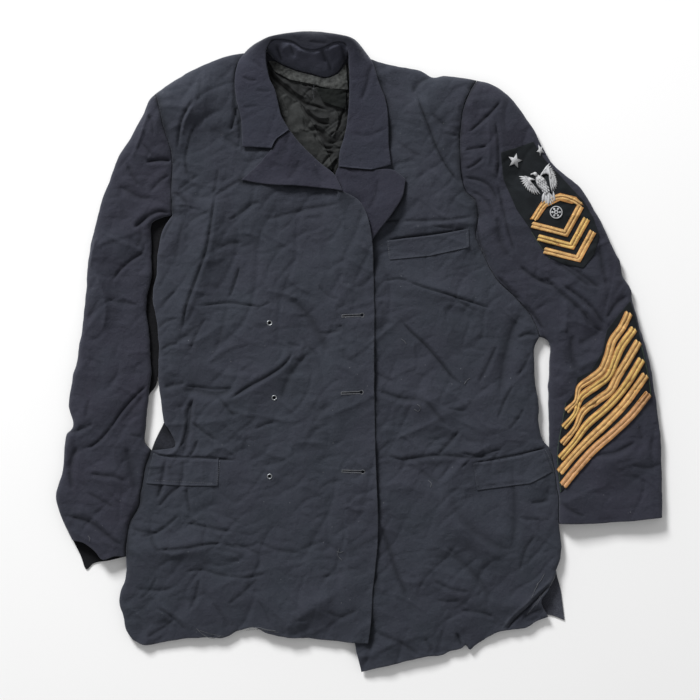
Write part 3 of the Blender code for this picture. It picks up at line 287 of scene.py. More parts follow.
# Creases on the squared plan: form, depth and width in millimetres, then x and y of each point
CREASES = {
    "right_front": [
        (T, 2.6, 3, 217, 192, 214, 208, 211, 227, 207, 250, 196, 281, 187, 307, 182, 334),
        (T, 2.4, 3, 240, 60, 236, 75, 235, 92, 236, 112, 240, 126, 240, 150),
        (T, 2.0, 6, 224, 138, 232, 143, 241, 149),
        (T, 1.8, 2, 201, 306, 215, 304, 230, 303, 246, 305, 263, 307),
        (T, 1.2, 2, 257, 309, 263, 306, 271, 302),
        (T, 2.4, 2, 149, 452, 162, 455, 175, 457, 205, 458, 241, 460),
        (T, 1.2, 5, 201, 80, 201, 95, 199, 105),
        (T, 2.2, 3, 196, 100, 189, 110, 183, 122, 180, 135, 178, 152),
        (R, 1.6, 4, 194, 108, 187, 122, 183, 136),
        (T, 1.8, 3.5, 199, 122, 193, 132, 188, 148, 186, 163, 188, 172, 192, 181),
        (R, 1.5, 4, 194, 126, 190, 138, 187, 150), (T, 2.5, 3, 238, 106, 235, 118, 231, 132),
        (T, 1.5, 8, 210, 130, 224, 134, 242, 139), (T, 1.5, 3.5, 240, 181, 225, 190, 213, 198),
        (T, 1.2, 3, 219, 170, 217, 182, 214, 196), (T, 1.6, 3.5, 172, 192, 182, 198, 190, 208),
        (T, 1.0, 3, 174, 208, 182, 207, 205, 211), (T, 1.4, 4, 212, 212, 200, 216, 190, 222, 186, 232),
        (T, 1.2, 5, 184, 222, 180, 240, 176, 262), (T, 1.0, 6, 190, 225, 188, 235, 186, 245),
        (T, 1.5, 2.5, 174, 218, 168, 228, 162, 242), (T, 1.6, 4, 228, 222, 243, 212, 252, 205, 262, 203),
        (T, 1.5, 5, 262, 221, 290, 214, 315, 208, 345, 204), (T, 1.4, 4.5, 217, 251, 228, 244, 243, 243),
        (T, 2.0, 2.5, 240, 266, 236, 280, 229, 299), (T, 1.0, 3, 162, 311, 167, 301, 176, 291),
        (T, 1.2, 3, 200, 175, 187, 184, 177, 192), (T, 1.4, 3, 157, 330, 166, 322, 178, 318),
        (T, 1.2, 3, 160, 352, 170, 345, 180, 344), (T, 1.0, 3, 254, 430, 266, 424, 278, 422),
        (T, 1.0, 4, 312, 425, 322, 412, 334, 404), (T, 0.9, 3, 318, 490, 330, 482, 344, 480),
        (T, 1.0, 3, 140, 600, 150, 590, 158, 576), (T, 0.9, 3, 258, 600, 266, 612, 270, 626),
        (T, 1.0, 5, 228, 305, 222, 330, 216, 352), (T, 1.2, 3, 206, 318, 197, 334, 190, 352),
        (T, 1.2, 5, 175, 345, 188, 334, 200, 325),
        (T, 2.4, 8, 285, 298, 299, 306, 311, 320, 319, 334, 325, 346, 326, 357),
        (R, 1.4, 5, 266, 291, 284, 294, 300, 300), (T, 1.4, 4, 318, 334, 331, 332, 345, 323),
        (T, 1.0, 3, 303, 338, 310, 348, 318, 356), (T, 0.9, 2.5, 318, 285, 328, 296, 340, 300),
        (T, 1.0, 4, 335, 310, 348, 304, 366, 299), (T, 1.4, 3, 328, 334, 338, 331, 346, 324),
        (T, 0.9, 2.5, 287, 343, 294, 345, 301, 346), (T, 0.8, 2.5, 302, 350, 305, 349, 308, 346),
        (T, 2.8, 3.5, 294, 351, 285, 364, 270, 375, 250, 386, 236, 395, 228, 400),
        (T, 1.8, 7, 308, 352, 294, 370, 286, 385, 282, 402), (T, 0.8, 3, 340, 357, 350, 360, 358, 365),
        (T, 2.0, 4, 164, 388, 174, 385, 186, 383), (T, 2.6, 8, 182, 392, 196, 390, 212, 394, 236, 390),
        (T, 1.4, 2.5, 184, 386, 198, 387, 214, 389, 234, 388),
        (R, 2.4, 3, 152, 451, 163, 454, 173, 453, 180, 444, 184, 430, 187, 414),
        (T, 2.6, 3.5, 178, 449, 186, 438, 189, 424, 191, 408, 193, 398),
        (T, 1.6, 3, 218, 396, 226, 406, 236, 418), (T, 3.6, 5, 194, 398, 188, 412, 186, 432, 184, 457),
        (T, 1.8, 3, 190, 421, 203, 431, 217, 441), (T, 2.2, 2.6, 198, 440, 194, 450, 189, 457),
        (R, 1.5, 5, 203, 457, 222, 447, 237, 456), (T, 1.2, 4, 250, 467, 270, 464, 290, 459),
        (T, 1.6, 16, 330, 395, 318, 425, 300, 455), (T, 2.6, 4, 166, 459, 163, 480, 158, 500),
        (T, 2.0, 4, 184, 459, 182, 482, 170, 494, 158, 508), (T, 1.6, 3, 187, 487, 188, 500, 191, 514),
        (T, 1.2, 3, 130, 527, 142, 531, 160, 533), (T, 1.6, 3, 140, 537, 155, 533, 168, 525, 180, 514),
        (T, 1.6, 4, 152, 533, 154, 543, 160, 553),
        (T, 2.0, 3.5, 156, 549, 170, 549, 190, 547, 206, 544, 224, 543),
        (T, 1.0, 3, 222, 543, 238, 547, 250, 546, 262, 541),
        (T, 1.8, 3.5, 186, 523, 205, 526, 222, 530, 234, 531), (T, 0.9, 3, 224, 515, 232, 518, 242, 524),
        (T, 1.2, 4, 232, 543, 245, 547, 262, 555), (T, 1.2, 4, 258, 542, 275, 549, 300, 553),
        (T, 1.3, 3.5, 185, 571, 205, 570, 218, 574, 232, 577), (T, 1.3, 3.5, 228, 576, 248, 577, 267, 573),
        (T, 1.6, 4, 200, 578, 196, 596, 190, 610), (T, 1.4, 4, 258, 578, 246, 590, 228, 605),
        (T, 1.1, 3, 155, 607, 168, 613, 178, 622, 188, 632), (T, 1.4, 4, 176, 618, 160, 630, 146, 638),
        (T, 1.2, 4, 213, 602, 222, 615, 230, 628), (T, 1.2, 5, 135, 588, 155, 590, 176, 588),
        (R, 2.5, 14, 280, 632, 305, 612, 335, 592), (T, 1.4, 5, 327, 610, 338, 616, 350, 613, 358, 605),
        (T, 1.0, 4, 320, 578, 345, 570, 365, 562), (T, 1.2, 4, 345, 552, 360, 545, 376, 536),
        (T, 1.0, 4, 300, 550, 312, 545, 325, 540), (T, 0.8, 4, 345, 500, 360, 501, 376, 500),
    ],
    "left_front": [
        (T, 2.8, 2.6, 416, 92, 420, 107, 428, 127, 437, 150, 447, 168, 462, 188),
        (R, 1.4, 5, 424, 96, 432, 118, 442, 140, 454, 160),
        (T, 2.6, 2, 384, 241, 400, 238.5, 420, 236, 440, 233.5, 455, 231, 469, 228),
        (T, 2.6, 2, 472, 463, 485, 461, 500, 458.5, 520, 454.5, 540, 449, 550, 445),
        (T, 2.2, 3, 385, 222, 391, 221, 399, 221), (T, 1.0, 2.5, 430, 226, 445, 228, 467, 230),
        (T, 1.0, 4, 380, 81, 384, 88, 389, 96), (T, 1.8, 3, 460, 453, 480, 455, 490, 452, 502, 449),
        (T, 1.2, 3, 461, 467, 465, 464, 469, 459), (T, 1.8, 4, 430, 78, 419, 84, 413, 95),
        (T, 1.2, 4, 390, 145, 386, 152, 381, 160), (T, 1.2, 4, 432, 117, 440, 123, 447, 130),
        (T, 1.2, 3, 443, 134, 450, 136, 458, 136), (T, 1.0, 4, 396, 142, 408, 150, 422, 158),
        (T, 1.5, 3, 400, 221.5, 425, 221, 450, 220, 475, 216.5),
        (T, 1.6, 2.5, 385, 281, 398, 279, 408, 281),
        (T, 2.2, 2.2, 406, 281, 425, 288, 445, 294, 470, 302, 492, 309),
        (T, 1.4, 3, 452, 296, 466, 306, 478, 313),
        (T, 2.6, 2.8, 400, 320, 412, 333, 425, 345, 440, 362, 455, 380, 463, 385),
        (T, 3.6, 3, 477, 222, 478, 236, 482, 250, 489, 263), (T, 3.0, 2.5, 497, 276, 510, 290, 522, 302),
        (T, 4.5, 4, 519, 302, 532, 315, 546, 336),
        (T, 3.4, 10, 522, 312, 515, 325, 508, 345, 503, 370, 500, 400),
        (T, 2.2, 4, 538, 336, 528, 334, 517, 338), (T, 1.6, 4, 497, 345, 488, 365, 478, 384),
        (T, 1.4, 3, 513, 385, 505, 400, 497, 420), (T, 1.4, 3, 531, 352, 524, 366, 516, 378),
        (T, 1.2, 3, 524, 408, 517, 420, 508, 430), (T, 1.6, 8, 382, 300, 384, 318, 380, 335),
        (T, 1.2, 4, 375, 373, 385, 378, 395, 382),
        (T, 2.0, 5, 375, 390, 400, 398, 425, 402, 438, 416, 450, 430),
        (T, 1.2, 3, 448, 408, 456, 410, 466, 411), (T, 2.0, 4, 460, 430, 446, 446, 437, 455),
        (T, 2.0, 4, 385, 455, 400, 459, 437, 455, 475, 457, 500, 453),
        (R, 2.0, 14, 440, 485, 444, 507, 456, 528, 480, 546, 505, 560),
        (T, 1.5, 9, 452, 490, 457, 510, 468, 525, 488, 540, 512, 552),
        (T, 1.8, 6, 445, 545, 460, 560, 475, 575, 492, 600), (T, 1.4, 5, 420, 470, 430, 478, 440, 485),
        (T, 2.0, 8, 512, 460, 515, 490, 515, 520, 512, 550), (T, 1.4, 3, 530, 503, 540, 502, 550, 500),
        (T, 1.2, 3, 518, 517, 528, 519, 540, 519), (T, 1.4, 4, 535, 535, 525, 550, 520, 570),
        (T, 2.2, 5, 378, 520, 388, 545, 398, 575, 410, 602), (T, 1.6, 4, 432, 580, 450, 588, 470, 592),
        (T, 1.2, 4, 436, 600, 448, 601, 460, 600), (T, 1.6, 4, 460, 610, 480, 612, 495, 617),
        (R, 1.6, 2.5, 554, 576, 547, 583, 537, 592, 526, 603, 516, 612, 508, 621, 502, 630),
        (T, 2.4, 2.5, 551, 583, 541, 594, 530, 605, 520, 614, 512, 623, 505, 632),
        (T, 1.6, 5, 522, 618, 532, 612, 543, 608), (T, 1.6, 5, 372, 630, 385, 636, 400, 642, 420, 656),
        (T, 2.0, 3, 457, 632, 459, 639, 462, 646), (T, 1.2, 4, 425, 638, 429, 645, 433, 652),
    ],
    "left_sleeve_top": [
        (T, 2.4, 3, 501, 101, 492, 112, 484, 120, 468, 134),
        (T, 2.2, 3, 494, 122, 497, 140, 498, 160, 497, 182), (T, 1.8, 2.5, 464, 151, 475, 149, 487, 147),
        (T, 1.8, 2.5, 465, 170, 475, 165, 483, 158), (T, 2.0, 3, 464, 178, 480, 181, 490, 187, 499, 203),
        (T, 1.8, 3, 497, 184, 502, 205, 508, 232, 516, 256),
        (T, 1.4, 3, 470, 192, 480, 196, 490, 206, 494, 220), (R, 1.6, 4, 487, 122, 489, 145, 488, 168),
        (T, 2.2, 7, 497, 215, 500, 240, 510, 260), (T, 2.4, 5, 560, 262, 580, 275, 600, 290),
        (T, 2.0, 5, 598, 240, 602, 265, 607, 290), (T, 1.6, 4, 570, 290, 580, 300, 592, 310),
        (T, 1.6, 4, 582, 310, 590, 325, 602, 332), (T, 3.6, 3, 477, 222, 478, 236, 482, 250, 489, 263),
        (T, 3.0, 2.5, 497, 276, 510, 290, 522, 302), (T, 3.6, 3, 523, 304, 534, 316, 544, 331),
        (T, 2.6, 4, 519, 266, 530, 275, 542, 282, 556, 286),
        (T, 2.2, 4, 542, 276, 559, 292, 578, 309, 593, 327),
        (T, 2.8, 4.5, 560, 284, 574, 294, 588, 305, 606, 328),
        (T, 2.0, 4, 550, 262, 564, 268, 578, 279, 592, 289),
        (T, 2.8, 7, 572, 334, 571, 350, 573, 362, 578, 374), (T, 1.8, 7, 577, 346, 590, 338, 602, 329),
        (R, 1.6, 5, 565, 300, 566, 318, 564, 334), (T, 2.4, 5, 605, 320, 615, 305, 628, 295),
        (T, 2.2, 5, 595, 455, 615, 452, 636, 441), (T, 1.4, 5, 630, 465, 650, 468, 662, 463),
        (T, 1.4, 4, 638, 425, 640, 433, 642, 441), (T, 1.6, 4, 558, 500, 570, 510, 585, 517),
    ],
    "right_sleeve_top": [
        (R, 2.2, 3.5, 150, 110, 146, 125, 140, 142, 133, 158), (T, 1.4, 3, 150, 115, 153, 125, 155, 137),
        (T, 3.2, 4, 146, 163, 156, 161, 172, 161), (T, 1.2, 3, 144, 145, 150, 152, 156, 159),
        (T, 1.6, 4, 128, 165, 133, 176, 140, 187), (T, 1.8, 6, 118, 187, 130, 192, 140, 198, 154, 199),
        (T, 1.6, 4, 170, 175, 160, 182, 150, 193),
        (T, 4.2, 5, 134, 229, 140, 224, 150, 216, 160, 212, 172, 214),
        (T, 1.8, 3, 145, 243, 143, 252, 132, 260, 121, 270, 112, 283),
        (T, 1.2, 4, 140, 225, 142, 236, 138, 248), (R, 2.4, 3.5, 98, 238, 94, 252, 91, 268),
        (R, 2.0, 5, 96, 272, 104, 290, 107, 310, 104, 330), (T, 1.2, 4, 108, 300, 125, 303, 140, 305),
        (T, 1.2, 5, 88, 320, 94, 310, 100, 300), (T, 2.4, 3, 149, 384, 136, 396, 122, 412, 112, 427),
        (T, 2.0, 3, 116, 421, 106, 434, 98, 442, 88, 449), (T, 1.4, 7, 146, 392, 134, 408, 122, 424),
        (T, 1.4, 4, 90, 400, 88, 409, 87, 418), (T, 1.8, 4, 68, 433, 82, 429, 95, 423),
        (T, 2.4, 6, 80, 445, 73, 458, 71, 475, 74, 492),
        (T, 2.0, 4.5, 90, 473, 103, 475, 115, 476, 127, 482), (T, 1.4, 4, 88, 492, 102, 500, 115, 508),
        (T, 3.4, 9, 127, 446, 130, 462, 133, 476, 139, 494),
        (T, 2.2, 5, 65, 515, 90, 522, 112, 538, 125, 548), (T, 1.2, 3, 130, 435, 137, 436, 144, 438),
    ],
    "collar_fall": [
        (T, 1.6, 4, 373, 64, 369, 75, 367, 86, 361, 103), (T, 1.3, 3, 243, 78, 250, 82, 258, 82),
        (T, 0.9, 3, 253, 62, 258, 66, 263, 71), (T, 0.9, 3, 243, 109, 250, 108, 258, 107),
        (T, 0.8, 3, 256, 92, 263, 93, 271, 93), (T, 0.9, 5, 352, 134, 366, 137, 385, 130),
        (T, 1.4, 2.5, 309, 44, 318, 45.5, 328, 46), (T, 1.0, 2.5, 319, 35, 325, 38, 331, 43),
        (T, 0.9, 2.5, 294, 39, 297, 42, 301, 45), (R, 1.2, 4, 281, 49, 291, 44, 301, 47),
    ],
    "right_lapel": [
        (T, 1.4, 6, 291, 133, 284, 150, 270, 171), (T, 1.0, 5, 279, 139, 274, 147, 267, 156),
        (T, 1.2, 5, 259, 159, 253, 169, 250, 179), (T, 1.2, 6, 301, 161, 295, 171, 288, 181),
        (T, 0.9, 4, 316, 168, 318, 176, 323, 184),
    ],
    "left_lapel": [
        (T, 1.2, 3, 344, 167, 351, 172, 359, 173), (T, 1.0, 4, 336, 176, 339, 183, 344, 192),
        (T, 1.2, 5, 378, 180, 376, 195, 368, 212),
    ],
    "collar_stand": [
        (T, 3.0, 3, 267, 47, 269, 55, 271, 63), (T, 2.4, 3, 276, 46, 279, 54, 282, 62),
        (T, 1.6, 3, 290, 45, 292, 51, 295, 58), (T, 3.0, 4, 321, 49, 323, 55, 326, 64),
        (T, 2.0, 3, 326, 58, 329, 65, 332, 72), (T, 3.0, 4, 341, 46, 344, 56, 347, 66),
        (R, 2.2, 7, 281, 51, 292, 49, 303, 54), (R, 2.2, 7, 329, 52, 337, 50, 345, 52),
    ],
    "neck_lining": [
        (T, 3.0, 2.5, 266, 65, 272, 76, 280, 84, 290, 93, 300, 100, 306, 104, 315, 106, 329, 111),
        (R, 2.4, 3, 270, 66, 277, 76, 286, 84, 297, 93, 308, 99),
        (T, 2.6, 2.2, 300, 101, 306, 113, 313, 118, 320, 123, 331, 124),
        (R, 2.2, 3, 306, 107, 312, 113, 320, 118, 330, 118),
        (T, 2.6, 2.2, 303, 117, 306, 127, 311, 130, 318, 130, 324, 137, 328, 143, 338, 142),
        (R, 1.8, 3, 311, 125, 318, 125, 326, 131, 332, 137), (T, 1.6, 2, 301, 84, 309, 85.5, 319, 86),
        (R, 2.2, 2.5, 335, 109, 338, 118, 337, 127, 332, 139), (T, 2.0, 2, 346, 107, 343, 113, 340, 121),
        (T, 2.4, 2, 314, 134, 318, 142, 325, 148, 333, 148), (T, 1.8, 2, 320, 146, 326, 152, 334, 153),
        (T, 2.6, 2.2, 322, 166, 327, 159, 334, 152), (R, 2.0, 2, 327, 169, 332, 163, 337, 157),
        (T, 2.0, 2, 285, 84, 292, 90, 297, 97), (T, 1.6, 2, 341, 122, 336, 131, 330, 136),
    ],
}
# A wrinkle's length over its width, and how sharp its crest is
WRINKLE_STRETCH, WRINKLE_CREST = 2.4, 0.10
# A trough's low lips: rise on the lit and the shaded side, their place and their reach, in widths
LIT_LIP, SHADED_LIP, LIP_PLACE, LIP_REACH = 0.12, 0.26, 1.9, 1.2
PLAN_SQUARE = 1.3
PLAN_CENTRE = (359.0, 351.5)


def smoothstep(value: Heights) -> Heights:
    """Ease from 0 to 1 over values 0 to 1."""
    share = np.clip(value, 0.0, 1.0)
    return share * share * (3.0 - 2.0 * share)


def tapered(along: Heights, share: float) -> Heights:
    """Ease from 0 to 1 and back to 0 at the two ends of a line, each over a share of its length."""
    return smoothstep(along / share) * smoothstep((1.0 - along) / share)


def rounded(value: Heights) -> Heights:
    """Rise from 0 to 1 along a quarter circle over values 0 to 1."""
    return np.sqrt(np.clip(1.0 - (1.0 - np.minimum(value, 1.0)) ** 2, 0.0, 1.0))


def plan(numbers: Sequence[float]) -> Points:
    """Points of the squared plan, in millimetres."""
    return (np.array(numbers, float).reshape(-1, 2) - PLAN_CENTRE) * (PLAN_SQUARE, -PLAN_SQUARE)


def curve(points: Points, step: float) -> Points:
    """Draw a centripetal spline through points.

    Args:
        points: two or more points, in order.
        step: distance between the points that come back.

    Returns:
        Evenly spaced points along the spline.
    """
    table = np.array(points, float)
    table = np.vstack([2 * table[0] - table[1], table, 2 * table[-1] - table[-2]])
    dense = []
    for index in range(1, len(table) - 2):
        p0, p1, p2, p3 = table[index - 1:index + 3]
        k1 = math.sqrt(np.linalg.norm(p1 - p0))
        k2 = k1 + math.sqrt(np.linalg.norm(p2 - p1))
        k3 = k2 + math.sqrt(np.linalg.norm(p3 - p2))
        for t in np.linspace(k1, k2, 12, endpoint=False):
            a1 = (k1 - t) / k1 * p0 + t / k1 * p1
            a2 = (k2 - t) / (k2 - k1) * p1 + (t - k1) / (k2 - k1) * p2
            a3 = (k3 - t) / (k3 - k2) * p2 + (t - k2) / (k3 - k2) * p3
            b1 = (k2 - t) / k2 * a1 + t / k2 * a2
            b2 = (k3 - t) / (k3 - k1) * a2 + (t - k1) / (k3 - k1) * a3
            dense.append((k2 - t) / (k2 - k1) * b1 + (t - k1) / (k2 - k1) * b2)
    return resample(np.array(dense + [table[-2]]), step)


def resample(line: Points, step: float) -> Points:
    """Even points about every `step` along a line of points."""
    length = np.concatenate([[0.0], np.cumsum(np.linalg.norm(np.diff(line, axis=0), axis=1))])
    at = np.linspace(0.0, length[-1], max(1, round(length[-1] / step)) + 1)
    return np.stack([np.interp(at, length, line[:, axis]) for axis in range(line.shape[1])], axis=1)


def edge(name: str, step: float) -> Points:
    """Points down a named edge, a little uneven.

    Args:
        name: the edge; with a minus sign before it, it runs backwards.
        step: distance between the points.

    Returns:
        The points. Edges that meet have the same end point.
    """
    line = curve(EDGES[name.lstrip("-")], step)
    soft = any(word in name for word in SOFT_EDGES) and "collar" not in name
    swing = 0.4 + (1.0 if soft else 0.1) * np.sin(math.pi * np.linspace(0, 1, len(line)))
    waver = [crumple(line, 19.0, phase) + 0.5 * crumple(line, 8.0, phase + 2.0) for phase in (3.1, 8.7)]
    line = line + swing[:, None] * np.stack(waver, axis=1)
    return line[::-1] if name.startswith("-") else line


def polygon(points: Sequence, step: float) -> Points:
    """Divide the straight sides of a closed outline.

    Args:
        points: its corners.
        step: about the distance between the points that come back.

    Returns:
        Points round the outline.
    """
    loop = []
    for start, end in zip(points, list(points[1:]) + list(points[:1])):
        start, end = np.array(start, float), np.array(end, float)
        count = max(1, round(np.linalg.norm(end - start) / step))
        loop += [start + (end - start) * index / count for index in range(count)]
    return np.array(loop)


def inset(loop: Points, far: float) -> Points:
    """Move a closed outline inwards, with mitred corners.

    Args:
        loop: the outline.
        far: how far to move it; outwards where negative.

    Returns:
        The moved outline, counterclockwise.
    """
    x, y = loop[:, 0], loop[:, 1]
    if np.sum(x * np.roll(y, -1) - np.roll(x, -1) * y) < 0:
        loop = loop[::-1]
    normals = []
    for side in (loop - np.roll(loop, 1, axis=0), np.roll(loop, -1, axis=0) - loop):
        side = side / np.maximum(np.linalg.norm(side, axis=1), 1e-9)[:, None]
        normals.append(np.stack([-side[:, 1], side[:, 0]], axis=1))
    middle = normals[0] + normals[1]
    middle /= np.maximum(np.linalg.norm(middle, axis=1), 1e-6)[:, None]
    miter = np.maximum(np.sum(middle * normals[0], axis=1), 0.4)
    return loop + middle * (far / miter)[:, None]


def outline(name: str, step: float, seam: float = 0.15) -> Points:
    """A panel's cut outline, with its share of the seam gap taken off."""
    return inset(np.vstack([edge(part, step)[:-1] for part in PANELS[name]]), seam)


def inside(points: Points, loop: Points) -> np.ndarray:
    """Test which points lie inside a closed outline.

    Args:
        points: the points to test.
        loop: the outline.

    Returns:
        True for each point inside.
    """
    found = np.zeros(len(points), bool)
    low, high = loop.min(axis=0), loop.max(axis=0)
    near = np.flatnonzero(np.all((points >= low) & (points <= high), axis=1))
    x0, y0 = loop[:, 0][None], loop[:, 1][None]
    x1, y1 = np.roll(loop[:, 0], -1)[None], np.roll(loop[:, 1], -1)[None]
    rise = np.where(y1 == y0, 1.0, y1 - y0)
    for part in np.array_split(near, max(1, len(near) // 3000)):
        x, y = points[part, 0][:, None], points[part, 1][:, None]
        crosses = (y0 > y) != (y1 > y)
        found[part] = np.sum(crosses & (x < (x1 - x0) * (y - y0) / rise + x0), axis=1) % 2 == 1
    return found


def around(points: Points, line: Points, margin: float) -> np.ndarray:
    """Test which points lie in the box round a line, drawn `margin` wider."""
    return np.all((points > line.min(axis=0) - margin) & (points < line.max(axis=0) + margin), axis=1)


class Rails:
    """Open lines that distances are measured from, sorted so that many points are quick."""

    def __init__(self, lines: Sequence[Points], step: float = 2.0) -> None:
        """Mark each line at least every `step`, and keep the marks before and after every mark."""
        marks, before, after = [], [], []
        for line in lines:
            counts = np.ceil(np.linalg.norm(np.diff(line, axis=0), axis=1) / step).astype(int)
            rows = [np.linspace(start, end, max(1, count), endpoint=False)
                    for start, end, count in zip(line[:-1], line[1:], counts)]
            row = np.vstack([*rows, line[-1:]])
            marks.append(row)
            before.append(np.vstack([row[:1], row[:-1]]))
            after.append(np.vstack([row[1:], row[-1:]]))
        self.marks, self.before, self.after = (np.vstack(rows) for rows in (marks, before, after))
        self.tree = KDTree(len(self.marks))
        for index, (x, y) in enumerate(self.marks):
            self.tree.insert((x, y, 0.0), index)
        self.tree.balance()

    def distance(self, points: Points) -> Heights:
        """Distance from each point to the nearest line."""
        near = np.array([self.tree.find((x, y, 0.0))[1] for x, y in points], int).reshape(-1)
        best = np.full(len(points), 1e18)
        for start, end in ((self.before[near], self.marks[near]), (self.marks[near], self.after[near])):
            side, to = end - start, points - start
            square = np.maximum(np.sum(side * side, axis=1), 1e-9)
            share = np.clip(np.sum(to * side, axis=1) / square, 0.0, 1.0)
            best = np.minimum(best, np.sum((to - share[:, None] * side) ** 2, axis=1))
        return np.sqrt(best)


def distance(points: Points, line: Points) -> Heights:
    """Distance from each point to an open line of points."""
    return Rails([line]).distance(points)


def nearest(points: Points, line: Points) -> tuple[Heights, Heights, Heights]:
    """Find the nearest place on an open line.

    Args:
        points: the points to measure from.
        line: the line's points.

    Returns:
        The distance, the share of the line's length, and the side: 1 on its left and -1 on its right.
    """
    best, along, hand = np.full(len(points), 1e18), np.zeros(len(points)), np.ones(len(points))
    count = len(line) - 1
    for index, (start, end) in enumerate(zip(line[:-1], line[1:])):
        side, to = end - start, points - start
        share = np.clip((to @ side) / max(side @ side, 1e-9), 0.0, 1.0)
        off = to - share[:, None] * side
        far = off[:, 0] ** 2 + off[:, 1] ** 2
        nearer = far < best
        best[nearer] = far[nearer]
        along[nearer] = (index + share[nearer]) / count
        hand[nearer] = np.sign(side[0] * to[nearer, 1] - side[1] * to[nearer, 0])
    return np.sqrt(best), along, hand


def closed(loop: Points) -> Points:
    """A closed outline with its first point repeated at the end."""
    return np.vstack([loop, loop[:1]])


def crumple(points: Points, size: float, phase: float) -> Heights:
    """Soft unevenness from -1 to 1, about `size` across."""
    return np.array([noise.noise((x / size, y / size, phase)) for x, y in points])


def wrinkle(points: Points, size: float, turn: float, phase: float) -> Heights:
    """Crisp wrinkles in patches.

    Args:
        points: places on the cloth.
        size: about how far they stand apart.
        turn: direction that they run in, in degrees.
        phase: which ones of many.

    Returns:
        From 0 between them to 1 on their crests.
    """
    cos, sin = math.cos(math.radians(turn)), math.sin(math.radians(turn))
    along = (points[:, 0] * cos + points[:, 1] * sin) / WRINKLE_STRETCH
    across = points[:, 1] * cos - points[:, 0] * sin
    crest = np.exp(-np.abs(crumple(np.column_stack([along, across]), size, phase)) / WRINKLE_CREST)
    return crest * smoothstep(0.5 + 1.6 * crumple(points, 1.7 * size, phase + 2.5))


def lattice(loop: Points, step: float) -> Points:
    """Even points in staggered rows inside an outline."""
    low, high = loop.min(axis=0), loop.max(axis=0)
    rows = []
    for row, y in enumerate(np.arange(low[1], high[1], step * math.sqrt(3) / 2)):
        x = np.arange(low[0] + (row % 2) * step / 2, high[0], step)
        rows.append(np.stack([x, np.full(len(x), y)], axis=1))
    points = np.vstack(rows)
    return points[inside(points, loop)]


@dataclass(frozen=True)
class Crease:
    """One crease of a panel, drawn as a smooth line."""

    form: Form
    depth: float
    width: float
    line: Points

    @property
    def side(self) -> float:
        """1 where the crease has the collar and the right sleeve on its left, and otherwise -1."""
        return 1.0 if np.sum(self.line[-1] - self.line[0]) > 0 else -1.0

    @classmethod
    def from_plan(cls, form: Form, depth: float, width: float, *numbers: float) -> "Crease":
        """A crease from its row in the table."""
        return cls(form, depth, width, curve(plan(numbers), 4.0))

    def hollow(self, points: Points) -> Heights:
        """Painted shade in the bottom of the crease at each point, from 0 to 1."""
        near = np.flatnonzero(around(points, self.line, 2.0 * self.width + 3.0))
        deep = np.zeros(len(points))
        if len(near) and self.form is Form.TROUGH:
            far, along, _ = nearest(points[near], self.line)
            reach = max(1.5, 0.6 * self.width)
            strength = min(1.0, self.depth / 2.4) * math.sqrt(1.5 / reach)
            deep[near] = strength * tapered(along, 0.2) * np.exp(-(far / reach) ** 2)
        return deep

    def rise(self, points: Points) -> Heights:
        """Height that the crease adds.

        Args:
            points: places on the cloth.

        Returns:
            Its height at each, below zero in a trough.
        """
        rise = np.zeros(len(points))
        near = np.flatnonzero(around(points, self.line, 5.0 * self.width))
        if not len(near):
            return rise
        far, along, hand = nearest(points[near], self.line)
        width = 0.8 * self.width * (0.5 + 0.5 * np.sin(math.pi * along))
        if self.form is Form.TROUGH:
            lip = np.where(hand * self.side > 0, LIT_LIP, SHADED_LIP)
            lip = lip * np.exp(-((far - LIP_PLACE * width) / (LIP_REACH * width)) ** 2)
            shape = lip - np.exp(-(far / width) ** 1.05)
        else:
            shape = np.exp(-(far / width) ** 1.3)
        rise[near] = self.depth * tapered(along, 0.14) * shape
        return rise


